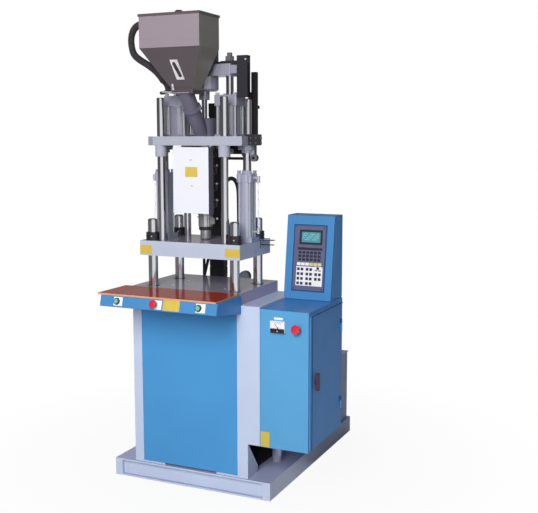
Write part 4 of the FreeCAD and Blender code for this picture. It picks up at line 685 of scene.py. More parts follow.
class MOULD_OT_clamp(MachineOperator):
    """Clamp cylinder and ram, crosshead, tie bars with their collars, and the moving platen"""
    bl_idname = "mould.clamp"
    bl_label = "Clamp"

    def make(self):
        def collars(piece):
            for x, y in BAR_SPOTS:
                piece.add(turned(COLLAR_PROFILE, mm(x, y, 0)), "collar_black")
                for way in level_ways(20):
                    spot = mm(x, y, SET_SCREW_HEIGHT) + way * mm(SET_SCREW_SEAT)
                    piece.add(rod(mm(3.2), spot, spot + way * mm(1.4), 0, 16), "zinc_plate")

        def plates(piece):
            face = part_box("moving_platen")[0].y
            for across, heights in PLATEN_PLATES:
                piece.add(front_plate(across, heights, face, sizes().plate_t, 2), "plate_yellow")
            for x in PLATEN_SCREWS:
                spot = Vector((mm(x), face + mm(1), mm(PLATEN_SCREW_HEIGHT)))
                piece.add(socket_screw(mm(6), spot, FRONT, mm(1.6)), "zinc_plate")

        dressed("clamp_cylinder", "cylinder_paint")
        dressed("clamp_ram", "chrome_bar")
        dressed("lower_crosshead", "platen_paint", edge=3)
        bars = Piece("tie_bars_finished", "chrome_bar")
        for x, y in BAR_SPOTS:
            bars.add(turned(BAR_PROFILE, mm(x, y, 0), steps=64))
        bars.done("clamp_platen", "chrome_bar", "tie_bars")
        dressed("tie_bar_nuts", "black_steel", "collar_black", "zinc_plate", extra=collars,
                keep=lambda place: place.z < mm(LOWER_NUTS_TOP))
        # The moving platen's right end takes the lighter copy of its paint, painted light.
        dressed("moving_platen", "platen_paint", "dark_plate", "platen_end", "plate_yellow", "zinc_plate",
                pick=plate_faces("moving_platen", "platen_end", "platen_paint"), edge=1.5, extra=plates)
        dressed("platen_striker", "platen_paint", "black_steel", edge=0.5,
                pick=split(X, STRIKER_TIP, "black_steel", "platen_paint"))


GUIDE_SPOTS = [(x, y) for x in (-178, 178) for y in (-533, -273)]
GUIDE_HEAD = [(19, 1968), (18, 1971.4), (15.5, 1973), (5, 1973), (4, 1971), (0, 1971)]
BUSH_SCREW_HEIGHT, BUSH_SCREW_CIRCLE = 1682, 24
FITTINGS_FRONT, FITTINGS_RIGHT, FITTINGS_FOOT = -351, 145, 1690


class MOULD_OT_guides(MachineOperator):
    """Guide rods, the carriage that runs on them and its bushes"""
    bl_idname = "mould.guides"
    bl_label = "Guides and carriage"

    def make(self):
        def bush_screws(piece):
            for x, y in GUIDE_SPOTS:
                for way in level_ways(45):
                    spot = mm(x, y, BUSH_SCREW_HEIGHT) + way * mm(BUSH_SCREW_CIRCLE)
                    piece.add(rod(mm(2.6), spot + mm(0, 0, 1), spot - mm(0, 0, 1.2), 0, 12), "zinc_plate")

        def manifold_face(centre, normal):
            fitting = centre.y < mm(FITTINGS_FRONT) and centre.x < mm(FITTINGS_RIGHT)
            return "zinc_plate" if fitting and centre.z > mm(FITTINGS_FOOT) else "black_steel"

        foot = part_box("guide_rods")[0].z * 1000
        rods = Piece("guide_rods_finished", "chrome_bar")
        for x, y in GUIDE_SPOTS:
            rods.add(turned([(0, foot), (19, foot), *GUIDE_HEAD], mm(x, y, 0), steps=64))
        rods.done("clamp_platen", "chrome_bar", "guide_rods")
        dressed("guide_bushings", "carriage_paint", "zinc_plate", edge=0.8, extra=bush_screws)
        dressed("guide_bar", "carriage_paint", edge=1.5)
        dressed("carriage_plate", "drive_paint", edge=1.5)
        dressed("oil_manifold", "black_steel", "zinc_plate", pick=manifold_face, edge=0.8)


LIFT_AXIS, LIFT_TIE_RODS = (236, AXIS_Y), 38.6
LIFT_TUBE = (1275, 1550)
RETURN_TUBES, RETURN_TUBE = 290, (1332, 1552)
TUBE_FITTINGS = 250
ROD_BRACKET_FOOT = 1699


class MOULD_OT_lift(MachineOperator):
    """Cylinders that lift the injection unit, with their rods and pipes"""
    bl_idname = "mould.lift"
    bl_label = "Lift cylinders"

    def make(self):
        def fitting_face(centre, normal):
            if abs(centre.x) > mm(RETURN_TUBES) and within(centre.z, *RETURN_TUBE):
                return "clear_tube"
            return "zinc_plate" if abs(centre.x) > mm(TUBE_FITTINGS) else "black_steel"

        def cylinder_face(centre, normal):
            on_tie_rod = off_axis(centre, LIFT_AXIS) > mm(LIFT_TIE_RODS) and within(centre.z, *LIFT_TUBE)
            return "tie_rod" if on_tie_rod else "cylinder_paint"

        dressed("lift_cylinders", "cylinder_paint", "tie_rod", pick=cylinder_face, edge=1.0)
        dressed("lift_rods", "chrome_bar", "cylinder_paint", edge=0.8,
                pick=split(Z, ROD_BRACKET_FOOT, "cylinder_paint", "chrome_bar"))
        dressed("oil_fittings", "zinc_plate", "clear_tube", "black_steel", pick=fitting_face, edge=0.5)


MOTOR_FLANGE = -476
INJECTION_AXIS, INJECTION_TIE_RODS = (144, AXIS_Y), 56
INJECTION_TUBE, TIE_ROD_NUTS = (1795, 1930), 1985.5
OIL_PIPE = 215  # the oil pipe stands further out than this, beside the left cylinder
BRACKET_RIGHT, BRACKET_TOP = 208, 2130
SWITCH_RIGHT, SWITCH_FOOT = 259, 1950
ROLLER_TOP = 1738
CHEEK_LEFT, CHEEK_FACE, CHEEK_TOP = 290, 293.5, 1800
RAIL_RIGHT, RAIL_FOOT = 285.5, 1792
STRIP_LIP_LOW, STRIP_LIP_HIGH = (109, -435, 2135), (209, -430, 2150)
STRIP_PIN_PLACE, STRIP_BUTTON_PLACE = (266, -455, 2148), (258, -457, 2152)
STRIP_PIN = [(0, 0), (6.5, 0), (6.5, 3), (5.2, 4), (5.2, 7), (6.5, 8), (6.5, 12), (5.5, 13), (0, 13)]
STRIP_BUTTON = [(0, 0), (5, 0), (5, 4), (4, 5), (0, 5)]
ROLLER_ARM_LOW, ROLLER_ARM_HIGH = (258, -408, 1666), (280.4, -396, 1738.5)
ROLLER_HUB, ROLLER_HUB_PLACE = [(0, 0), (7, 0), (7, 3), (5.5, 4), (0, 4)], (278, -413.5, 1676)


class MOULD_OT_injection(MachineOperator):
    """Injection cylinders, drive crosshead, bearing housing, motor and screw"""
    bl_idname = "mould.injection"
    bl_label = "Injection drive"

    def make(self):
        def cylinder_face(centre, normal):
            if centre.z > mm(TIE_ROD_NUTS):
                return "zinc_plate"
            on_tube = within(centre.z, *INJECTION_TUBE)
            at_tie_rod = off_axis(centre, INJECTION_AXIS) > mm(INJECTION_TIE_RODS)
            if on_tube and at_tie_rod and abs(centre.x) < mm(OIL_PIPE):
                return "tie_rod"
            below_head = centre.z < mm(INJECTION_TUBE[1])
            # The left tube takes the darker copy as painted shade; the right cylinder and both heads take the
            # lighter copy as painted light.
            return "left_cylinder" if centre.x < 0 and below_head else "right_cylinder"

        def strip_face(centre, normal):
            if centre.x < mm(BRACKET_RIGHT) and centre.z < mm(BRACKET_TOP):
                return "drive_paint"
            return "rail_black" if normal.x > 0.9 else "black_steel"

        def strip_fittings(piece):
            piece.add(turned(STRIP_PIN, mm(*STRIP_PIN_PLACE), RIGHT, 24), "collar_black")
            piece.add(turned(STRIP_BUTTON, mm(*STRIP_BUTTON_PLACE), FRONT, 24), "zinc_plate")
            piece.add(block(mm(*STRIP_LIP_LOW), mm(*STRIP_LIP_HIGH), mm(0.5)), "black_steel")

        def rail_face(centre, normal):
            if centre.x < mm(SWITCH_RIGHT) and centre.z > mm(SWITCH_FOOT):
                return "switch_red"
            if centre.z < mm(ROLLER_TOP):
                return "bush_grey"
            if centre.x > mm(CHEEK_LEFT) and centre.z < mm(CHEEK_TOP):
                return "bush_grey" if centre.x > mm(CHEEK_FACE) else "cheek_grey"
            on_rail = centre.x < mm(RAIL_RIGHT) and centre.z > mm(RAIL_FOOT)
            return "rail_black" if on_rail else "black_steel"

        def roller_arm(piece):
            arm = block(mm(*ROLLER_ARM_LOW), mm(*ROLLER_ARM_HIGH), mm(0.8), mm(4), FRONT)
            piece.add(arm, "carriage_paint")
            piece.add(turned(ROLLER_HUB, mm(*ROLLER_HUB_PLACE), FRONT, 24), "rail_black")

        crosshead_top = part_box("drive_crosshead")[1].z * 1000
        dressed("injection_cylinders", "left_cylinder", "right_cylinder", "zinc_plate", "tie_rod",
                pick=cylinder_face, edge=1.0)
        dressed("piston_rods", "chrome_bar", "bush_grey", edge=0.8,
                pick=split(Z, crosshead_top, "bush_grey", "chrome_bar"))
        # The crosshead's side faces take the lighter platen grey: painted light where they stand in shade.
        dressed("drive_crosshead", "drive_paint", "platen_paint", edge=1.5,
                pick=lambda centre, normal: "platen_paint" if abs(normal.x) > 0.9 else "drive_paint")
        dressed("bearing_housing", "drive_paint", edge=1.0)
        dressed("hydraulic_motor", "motor_paint", "black_steel", edge=1.0,
                pick=split(Y, MOTOR_FLANGE, "motor_paint", "black_steel"))
        dressed("injection_screw", "ground_steel", edge=0)
        dressed("striker_plate", "black_steel", "collar_black", "drive_paint", "rail_black", "zinc_plate",
                pick=strip_face, edge=0.7, extra=strip_fittings)
        dressed("switch_rail", "black_steel", "switch_red", "rail_black", "bush_grey", "cheek_grey",
                "carriage_paint", pick=rail_face, edge=0.7, extra=roller_arm)


FEED_BLOCK_FOOT = 1780
LOWEST_BAND_TOP = 1400
NOZZLE_COLLAR = (1308, 1325)
TERMINAL_FOOT, TERMINAL_HEIGHTS = 64, (1367, 1461, 1544, 1637)
BAND_SCREWS, BAND_SCREW_HEIGHT = ((-37, -RIGHT), (33, RIGHT)), 1372
COVER_SCREWS = [(2, 1666), (6, 1540)]
COVER_PLATE = ((-30, 38), (1583, 1632))


class MOULD_OT_barrel(MachineOperator):
    """Barrel, heater bands, nozzle and the cover in front of them"""
    bl_idname = "mould.barrel"
    bl_label = "Barrel and cover"

    def make(self):
        def terminals(piece):
            for z in TERMINAL_HEIGHTS:
                spot = mm(TERMINAL_FOOT, AXIS_Y, z)
                piece.add(rod(mm(5.5), spot, spot + mm(7, 0, 0), mm(0.8), 20), "ceramic")
                piece.add(rod(mm(2), spot, spot + mm(11, 0, 0), mm(0.4), 12), "zinc_plate")
            for x, way in BAND_SCREWS:
                spot = mm(x, AXIS_Y, BAND_SCREW_HEIGHT)
                piece.add(socket_screw(mm(3.4), spot, way, mm(9)), "zinc_plate")

        def cover_fittings(piece):
            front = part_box("heater_cover")[0].y
            for x, z in COVER_SCREWS:
                piece.add(socket_screw(mm(4), Vector((mm(x), front, mm(z))), FRONT, mm(2.2)), "zinc_plate")
            piece.add(front_plate(*COVER_PLATE, front, sizes().plate_t, 2), "plate_yellow")

        def nozzle_face(centre, normal):
            return "black_steel" if within(centre.z, *NOZZLE_COLLAR) else "band_bright"

        dressed("barrel", "ground_steel", "pipe_paint", edge=0.8,
                pick=split(Z, FEED_BLOCK_FOOT, "pipe_paint", "ground_steel"))
        dressed("heater_bands", "heater_metal", "band_bright", "ceramic", "zinc_plate", edge=0.8,
                pick=split(Z, LOWEST_BAND_TOP, "heater_metal", "band_bright"), extra=terminals)
        dressed("nozzle", "band_bright", "black_steel", pick=nozzle_face, edge=0.6)
        # Faces of the cover that don't look to the front take the dark grey, painted shade.
        dressed("heater_cover", "cover_white", "cover_side", "zinc_plate", "plate_yellow", edge=0.8,
                pick=facing(FRONT, "cover_white", "cover_side"), extra=cover_fittings)


CONE_FOOT, CONE_HEAD = mm(0, -627, 2004), mm(0, -690, 2200)
SIGHT_FOOT, SIGHT_HEAD = (-16, 26), (-39, 2)  # left and right edges of the slanted frame at its ends
SIGHT_HEIGHTS = (2051, 2143)
SIGHT_THICKNESS, SIGHT_RIM, SIGHT_DEPTH = 5, 9.5, 2.6
GLASS_RADIUS, GLASS_THICKNESS, GLASS_OUT, GLASS_END = 9, 1.2, 2.2, 20
SLOT_ACROSS, SLOT_HEIGHTS = (-60, 30), (2052, 2139)
THROAT_TOP = 2020
PROUD = 0.6
SPIGOT_FOOT, SPIGOT_WAY = (-44, -634, 2003), (0, -0.25, 1)
SPIGOT = [(0, 0), (9, 0), (9, 4), (6, 5), (6, 20), (7.5, 21), (7.5, 25), (5, 26), (5, 30), (0, 30)]
SHUTTER_STRIP_LOW, SHUTTER_STRIP_HIGH = (-60, -639, 1986), (44, -633, 1991)
ELBOW_RIGHT, SHUTTER_FOOT, HANDLE_RIGHT = -58, 1980, -110


def cone_front(z):
    """Y of the hopper's tapered front at a height."""
    fall = (CONE_FOOT.y - CONE_HEAD.y) / (CONE_HEAD.z - CONE_FOOT.z)
    return CONE_HEAD.y + (CONE_HEAD.z - z) * fall


def sight_window(lean):
    """Slanted frame of the sight glass with its sunk middle, and the glass, on the hopper's taper."""
    flat = lean.inverted()
    low, high = [(flat @ Vector((0, cone_front(mm(z)), mm(z)))).y for z in SIGHT_HEIGHTS]
    surround = bmesh.new()
    corners = [(x, low) for x in SIGHT_FOOT] + [(x, high) for x in reversed(SIGHT_HEAD)]
    surround.faces.new([surround.verts.new((mm(x), up, 0)) for x, up in corners])
    extruded(surround, mm(SIGHT_THICKNESS))
    middle = [f for f in surround.faces if f.normal.z > 0.9]
    bmesh.ops.inset_region(surround, faces=middle, thickness=mm(SIGHT_RIM), use_even_offset=True)
    bmesh.ops.translate(surround, vec=(0, 0, -mm(SIGHT_DEPTH)), verts=middle[0].verts)
    rounded(surround, mm(0.8))
    bmesh.ops.transform(surround, matrix=lean, verts=surround.verts)

    start = Vector((mm(sum(SIGHT_FOOT) / 2), low + mm(GLASS_END), mm(GLASS_OUT)))
    end = Vector((mm(sum(SIGHT_HEAD) / 2), high - mm(GLASS_END), mm(GLASS_OUT)))
    glass = bmesh.new()
    bmesh.ops.create_circle(glass, cap_ends=True, segments=32, radius=mm(GLASS_RADIUS))
    upper = [v for v in glass.verts if v.co.y > 1e-6]
    bmesh.ops.translate(glass, vec=(0, (end - start).length, 0), verts=upper)
    extruded(glass, mm(GLASS_THICKNESS))
    slant = Matrix.Rotation(-math.atan2(end.x - start.x, end.y - start.y), 4, "Z")
    bmesh.ops.transform(glass, matrix=lean @ Matrix.Translation(start) @ slant, verts=glass.verts)
    return surround, glass


class MOULD_OT_hopper(MachineOperator):
    """Hopper with its lid, shutter and feed pipe"""
    bl_idname = "mould.hopper"
    bl_label = "Hopper"

    def make(self):
        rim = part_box("hopper")[1].z

        def plain_hopper(place):
            """Leaves out the upright sight-glass frame and the slot in it, for the slanted one to replace."""
            if place.z < mm(THROAT_TOP):
                return True
            proud = cone_front(place.z) - place.y
            beside_slot = within(place.x, *SLOT_ACROSS) and within(place.z, *SLOT_HEIGHTS)
            return proud < mm(PROUD) and not (beside_slot and proud > -mm(PROUD))

        def hopper_face(centre, normal):
            # Right-facing walls and taper take their own copies of the sheet, painted reflection.
            if centre.z > CONE_HEAD.z - mm(1):
                return "olive_steel" if normal.x > 0.5 else "hopper_steel"
            return "cone_side" if normal.x > 0.3 else "cone_steel"

        def sight_glass(piece):
            surround, glass = sight_window(leaning_face(CONE_FOOT, CONE_HEAD))
            piece.add(surround, "sight_frame")
            piece.add(glass, "dark_glass")

        def lid_face(centre, normal):
            if centre.z > rim + mm(4):
                return "dark_plastic"
            return "lid_edge" if normal.y < -0.9 else "lid_steel"

        def pipe_face(centre, normal):
            if centre.x < mm(ELBOW_RIGHT):
                return "black_rubber"
            return "cone_steel" if centre.z > mm(SHUTTER_FOOT) else "pipe_paint"

        def spigot(piece):
            piece.add(turned(SPIGOT, mm(*SPIGOT_FOOT), SPIGOT_WAY, 24), "zinc_plate")
            piece.add(block(mm(*SHUTTER_STRIP_LOW), mm(*SHUTTER_STRIP_HIGH), mm(0.5)), "hopper_steel")

        dressed("hopper", "hopper_steel", "cone_steel", "olive_steel", "cone_side", "sight_frame",
                "dark_glass", pick=hopper_face, edge=0.7, extra=sight_glass, keep=plain_hopper)
        dressed("hopper_lid", "lid_steel", "lid_edge", "dark_plastic", pick=lid_face, edge=0.6)
        dressed("shutter_slide", "zinc_plate", "black_steel", edge=0.5,
                pick=split(X, HANDLE_RIGHT, "zinc_plate", "black_steel"))
        dressed("feed_pipe", "pipe_paint", "cone_steel", "black_rubber", "zinc_plate", "hopper_steel",
                pick=pipe_face, edge=1.0, extra=spigot)


CONSOLE_FOOT, CONSOLE_HEAD = (0, -272, 957), (0, -217, 1385)
PANEL_FACE = 3  # how far the panel stands out of the console's slope
PANEL_BORDER = ((420, 44, 0), (600, 384, 2), 6)  # low and high corner, and the frame's width
DISPLAY_RIM = ((453, 283, 3), (577, 357, 4.6), 10.5)
WHITE_KEYS_TOP, WHITE_KEYS_LEFT = 95, 540
COLOURED_KEYS = ("white_plastic",) * 3 + ("key_yellow",) * 3
PANEL_PLATES = [  # low and high corner along, up and out of the slope, edge, corner and finish
    ((446, 255, 3), (580, 267, 4), 0.3, 1, "key_dark"),
    ((443, 73, 3), (586, 171, 3.5), 0.2, 2, "white_plastic"),
    ((544, 79, 3.4), (578, 91, 5.2), 0.5, 1.5, "white_plastic"),
    *[((446 + place * 22.5, 176, 3), (466 + place * 22.5, 191, 4.8), 0.5, 1.5, finish)
      for place, finish in enumerate(COLOURED_KEYS)],
    ((542, 155, 3), (580, 173, 5.3), 0.2, 1, "white_plastic"),
    ((554, 157, 5.2), (568, 171, 6), 0.3, 1, "key_dark"),
]
PANEL_SCREWS = [(435, 58), (585, 58), (435, 370), (585, 370)]
READING_START, READING_STEP, READING_ROWS, READING_COLUMNS = (473, 306), 9.5, 4, 9


class MOULD_OT_console(MachineOperator):
    """Console with its panel, keys and display"""
    bl_idname = "mould.console"
    bl_label = "Console"

    def make(self):
        slope = leaning_face(mm(*CONSOLE_FOOT), mm(*CONSOLE_HEAD))
        flat = slope.inverted()

        def console_face(centre, normal):
            # The console's sides take the side blue, painted shade.
            if abs(normal.x) > 0.9:
                return "side_blue"
            # The console's top takes the dark navy, painted shade.
            return "top_shade" if normal.z > 0.9 else "blue_paint"

        def bezel_face(centre, normal):
            place = flat @ centre
            if place.z < mm(PANEL_FACE + 0.1):
                return "panel_grey"
            white = place.y < mm(WHITE_KEYS_TOP) and place.x > mm(WHITE_KEYS_LEFT)
            return "white_plastic" if white else "key_dark"

        def fittings(piece):
            # The dark frame round the panel is painted shade of its recess.
            piece.add(surround_on(slope, *PANEL_BORDER), "panel_border")
            piece.add(surround_on(slope, *DISPLAY_RIM), "key_dark")
            for low, high, edge, corner, finish in PANEL_PLATES:
                piece.add(plate_on(slope, low, high, edge, corner), finish)
            for x, y in PANEL_SCREWS:
                start, end = slope @ mm(x, y, PANEL_FACE), slope @ mm(x, y, PANEL_FACE + 1.2)
                piece.add(rod(mm(3), start, end, mm(0.3), 16), "key_dark")

        def readings(piece):
            """Rows of plain marks with a gap here and there, as in lines of figures."""
            for row in range(READING_ROWS):
                for column in range(READING_COLUMNS):
                    if (row * 5 + column * 3) % 4:
                        x = READING_START[X] + column * READING_STEP
                        y = READING_START[Y] + row * READING_STEP
                        mark = plate_on(slope, (x, y, 3.9), (x + 6.5, y + 3.2, 4.25), 0.05)
                        piece.add(mark, "display_marks")

        dressed("control_console", "blue_paint", "top_shade", "side_blue", pick=console_face, edge=1.5)
        dressed("panel_bezel", "panel_grey", "key_dark", "white_plastic", "key_yellow", "panel_border",
                pick=bezel_face, edge=0.4, extra=fittings)
        dressed("display_window", "display", "display_marks", edge=0.3, extra=readings)


METER_X, METER_FRONT = 488, 12  # the meter's middle, and how far it stands out of the cabinet
DIAL_HEIGHT, DIAL_FACE, DIAL_TURN, DIAL_TICKS = 873, 4.3, 84, 8
METER_BAR = ((451, 525), (848, 869))
METER_SCREW_HEIGHT = 858.5
METER_BAR_TOP = 869.5
WHITE_PLATE = ((466, 513), (912, 923))
YELLOW_PLATE = ((395, 443), (272, 349))
DOOR_SEALS = [(3.4, (-575, -155), (936.4, 940.4)), (3.2, (-574, -571.8), (284, 940.4))]
DOOR_FACE, DOOR_HINGE_EDGE = 649.2, -157.5


class MOULD_OT_cabinet(MachineOperator):
    """Cabinet with its door, meter and stop button"""
    bl_idname = "mould.cabinet"
    bl_label = "Cabinet"

    def make(self):
        low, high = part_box("control_cabinet")
        front, side = low.y, high.x

        def meter_marks(piece):
            pivot = Vector((mm(METER_X), front - mm(DIAL_FACE), mm(DIAL_HEIGHT)))
            for tick in range(DIAL_TICKS + 1):
                angle = math.radians(DIAL_TURN * tick / DIAL_TICKS - DIAL_TURN / 2)
                way = Matrix.Rotation(angle, 3, "Y") @ UP
                reach = mm(24.2 if tick % 4 else 25.6)
                piece.add(rod(mm(0.55), pivot + way * mm(21.5), pivot + way * reach, 0, 8), "dark_plastic")
            face = front - mm(METER_FRONT)
            piece.add(front_plate(*METER_BAR, face, mm(0.8)), "dark_plastic")
            start = Vector((mm(METER_X), face - mm(0.6), mm(METER_SCREW_HEIGHT)))
            piece.add(rod(mm(4), start, start + FRONT * mm(1.2), mm(0.4), 20), "zinc_plate")

        def plates_and_seals(piece):
            piece.add(front_plate(*WHITE_PLATE, front, mm(1.2), 1.5), "plate_white")
            piece.add(front_plate(*YELLOW_PLATE, front, mm(1.2), 4), "plate_yellow")
            for thickness, depths, heights in DOOR_SEALS:
                corners = [Vector((side + mm(out), mm(depths[end]), mm(heights[end])))
                           for end, out in enumerate((0, thickness))]
                piece.add(block(*corners, mm(0.4)), "seal_blue")

        def cabinet_face(centre, normal):
            # The cabinet's right side takes the side blue, painted shade.
            if normal.x > 0.9:
                return "side_blue"
            # The cabinet's top takes the darker top blue, painted shade.
            return "blue_shade" if normal.z > 0.9 else "cabinet_blue"

        def door_face(centre, normal):
            # The hinge knuckles and the door's back edge take the dark navy as painted shade, so they don't
            # show the light they catch.
            at_edge = centre.x > mm(DOOR_FACE) or centre.y > mm(DOOR_HINGE_EDGE)
            return "top_shade" if at_edge else "side_blue"

        dressed("control_cabinet", "cabinet_blue", "blue_shade", "side_blue", "plate_white", "plate_yellow",
                "seal_blue", pick=cabinet_face, extra=plates_and_seals)
        dressed("electrical_plate", "zinc_plate", edge=0.8)
        dressed("ammeter_case", "white_plastic", "dark_plastic", "zinc_plate", edge=0.6, extra=meter_marks,
                pick=split(Z, METER_BAR_TOP, "white_plastic", "dark_plastic"))
        dressed("ammeter_needle", "dark_plastic", edge=0)
        # The door on the cabinet's right side is all in the side blue, painted shade.
        dressed("cabinet_door", "side_blue", "top_shade", pick=door_face, edge=0.8)
        dressed("door_lock", "lock_plastic", edge=0.8)
        dressed("cabinet_stop", "red_plastic", edge=0.6)


APRON_FOOT, APRON_HEAD = (0, -845, 960), (0, -831, 1014)
BUTTON_PLATES, BUTTON_PLATE_SPAN = (-274, 180), (8, 51)
STOP_PLATE = ((-52, 7, 0), (-4, 50, 1))
APRON_FIELD = ((3, 4, 0), (93, 55, 1))


class MOULD_OT_apron(MachineOperator):
    """Apron with its buttons"""
    bl_idname = "mould.apron"
    bl_label = "Apron and buttons"

    def make(self):
        slope = leaning_face(mm(*APRON_FOOT), mm(*APRON_HEAD))
        out = slope.col[2].to_3d()

        def plates(piece):
            foot, head = BUTTON_PLATE_SPAN
            for x in BUTTON_PLATES:
                low, high = (x, foot, 0), (x + sizes().legend * 1000, head, 1)
                piece.add(plate_on(slope, low, high, corner=2), "plate_white")
            piece.add(plate_on(slope, *STOP_PLATE, corner=2), "plate_white")
            piece.add(plate_on(slope, *APRON_FIELD, corner=1), "plate_yellow")

        def button_face(centre, normal):
            return "green_lens" if normal.dot(out) > 0.97 else "green_plastic"

        # The apron's right end takes the bluer copy, painted shade.
        dressed("apron_housing", "blue_paint", "apron_end", "plate_white", "plate_yellow",
                pick=facing(RIGHT, "apron_end", "blue_paint"), extra=plates)
        dressed("button_bezels", "dark_plastic", edge=0.5)
        for button in ("start_button_left", "start_button_right"):
            dressed(button, "green_plastic", "green_lens", pick=button_face, edge=0.8)
        dressed("apron_stop", "red_plastic", edge=0.6)


GAUGE_FOOT, DIAL_FOOT = 955, 960


class MOULD_OT_hydraulics(MachineOperator):
    """Oil tank with its pump, valves and filter, and the trunk behind the machine"""
    bl_idname = "mould.hydraulics"
    bl_label = "Tank and trunk"

    def make(self):
        def valve_face(centre, normal):
            # The gauge's dial takes the grey, painted shade.
            if centre.z > mm(DIAL_FOOT) and normal.y < -0.9:
                return "dial_grey"
            return "black_steel" if centre.z > mm(GAUGE_FOOT) else "zinc_plate"

        dressed("oil_tank", "frame_paint")
        dressed("pump_motor", "motor_paint", edge=1.0)
        dressed("valve_manifold", "zinc_plate", "black_steel", "dial_grey", pick=valve_face, edge=1.0)
        dressed("return_filter", "cylinder_paint", edge=1.0)
        dressed("cable_duct", "black_trunk", edge=1.0)


# ---------------------------------------------------------------- hoses
HOPPER_HOSE = [(-202, -595, 2328), (-236, -595, 2329), (-276, -592, 2317), (-300, -588, 2290),
               (-311, -583, 2254), (-309, -580, 2218), (-299, -580, 2184), (-264, -584, 2157),
               (-214, -589, 2132), (-150, -593, 2089), (-121, -595, 2050)]
LIFT_HOSE = [(47, -244, 1301), (46, -244, 1340), (33, -244, 1385), (23, -244.8, 1443), (25, -246.9, 1508),
             (44, -258.8, 1549), (78, -279.4, 1567), (113, -303.2, 1567), (141, -323.7, 1547),
             (156.2, -335.6, 1514.5), (158.7, -337.7, 1443), (159.6, -338.5, 1372), (159.6, -338.5, 1301)]
HOPPER_HOSE_LENGTH, HOPPER_HOSE_DIAMETER = 0.458, 0.030
LIFT_HOSE_LENGTH, LIFT_HOSE_DIAMETER = 0.608, 0.021
LIFT_HOSE_RINGS = 5


def smooth_line(name, route):
    """Points read off the NURBS line through a hose's route."""
    curve = bpy.data.curves.new(name, "CURVE")
    curve.dimensions = "3D"
    curve.resolution_u = 32
    spline = curve.splines.new("NURBS")
    spline.points.add(len(route) - 1)
    for point, place in zip(spline.points, route):
        point.co = (*mm(*place), 1)
    spline.order_u = 3
    spline.use_endpoint_u = True
    holder = bpy.data.objects.new(name, curve)
    bpy.context.scene.collection.objects.link(holder)
    mesh = bpy.data.meshes.new_from_object(holder)
    points = [v.co.copy() for v in mesh.vertices]
    bpy.data.objects.remove(holder)
    bpy.data.meshes.remove(mesh)
    return points


def rings_along(points, spacing):
    """Frames at even distances along a line, without twist."""
    steps = [(b - a).length for a, b in zip(points, points[1:])]
    count = max(2, round(sum(steps) / spacing))
    spacing = sum(steps) / count
    frames = []
    turn = UP.rotation_difference(points[1] - points[0])
    run, index = 0.0, 0
    for ring in range(count + 1):
        goal = min(ring * spacing, sum(steps) - 1e-9)
        while run + steps[index] < goal:
            run += steps[index]
            index += 1
        way = (points[index + 1] - points[index]).normalized()
        spot = points[index] + way * (goal - run)
        turn = (turn @ UP).rotation_difference(way) @ turn
        frames.append(Matrix.Translation(spot) @ turn.to_matrix().to_4x4())
    return frames


def sleeve(frames, radii, segments=24):
    """A closed tube pulled along the frames, ring by ring."""
    shape = bmesh.new()
    sized = [place @ Matrix.Diagonal((r, r, 1, 1)) for place, r in zip(frames, radii)]
    bmesh.ops.create_circle(shape, cap_ends=False, radius=1, segments=segments, matrix=sized[0])
    first = edges = list(shape.edges)
    for before, after in zip(sized, sized[1:]):
        grown = bmesh.ops.extrude_edge_only(shape, edges=edges)["geom"]
        edges = [g for g in grown if isinstance(g, bmesh.types.BMEdge)]
        verts = [g for g in grown if isinstance(g, bmesh.types.BMVert)]
        bmesh.ops.transform(shape, matrix=after @ before.inverted(), verts=verts)
    bmesh.ops.edgeloop_fill(shape, edges=first)
    bmesh.ops.edgeloop_fill(shape, edges=edges)
    bmesh.ops.recalc_face_normals(shape, faces=shape.faces)
    return shape


class MOULD_OT_hoses(MachineOperator):
    """Ribbed hose on the hopper and the arched oil hose behind the lift cylinder"""
    bl_idname = "mould.hoses"
    bl_label = "Hoses"

    def make(self):
        line = smooth_line("hopper_hose_line", HOPPER_HOSE)
        rings = rings_along(line, sizes().rib_pitch / 4)
        outer = HOPPER_HOSE_DIAMETER / 2 + sizes().rib_stand
        radii = [outer if index % 4 < 2 else outer - sizes().rib_depth for index in range(len(rings))]
        ribbed = Piece("ribbed_hose", "hose_grey")
        ribbed.add(sleeve(rings, radii))
        made = ribbed.done("injection_unit", "black_rubber", "hopper_hose")

        line = smooth_line("lift_hose_line", LIFT_HOSE)
        rings = rings_along(line, mm(LIFT_HOSE_RINGS))
        arched = Piece("arched_hose", "black_rubber")
        arched.add(sleeve(rings, [LIFT_HOSE_DIAMETER / 2] * len(rings)))
        made = arched.done("clamp_platen", "black_rubber", "lift_hose")


# ---------------------------------------------------------------- stage
CAMERA_PLACE = (2.1764, -4.4259, 1.7673)
CAMERA_TILT, CAMERA_TURN = 82.532, 24.331
LAMPS = [  # name, place, what it points at, size and watts
    ("key_softbox", (1.10, -5.43, 3.3), (0.05, -0.35, 1.2), (2.6, 3.2), 335),
    ("left_softbox", (-4.2, -3.0, 2.2), (0, -0.3, 1.2), (0.9, 3.0), 24),
    ("rear_softbox", (-2.9, 4.4, 1.6), (0, 0, 1.1), (2.8, 2.6), 150),
]
FRONT_FLAG, REAR_FLAG = (0.695, -0.719, 0), (-0.41, 0.91, 0)
FLAG_LIGHT, REAR_LIGHT = 0.12, 0.38
FLOOR_RADIUS = 40


def area_lamp(name, place, target, size, watts):
    """A soft lamp that lights the machine and isn't mirrored in it."""
    lamp = bpy.data.lights.new(name, "AREA")
    lamp.shape = "RECTANGLE"
    lamp.size, lamp.size_y = size
    lamp.energy = watts
    made = bpy.data.objects.new(name, lamp)
    made.location = place
    made.visible_glossy = False
    made.rotation_euler = (Vector(target) - Vector(place)).to_track_quat("-Z", "Y").to_euler()
    bpy.context.scene.collection.objects.link(made)


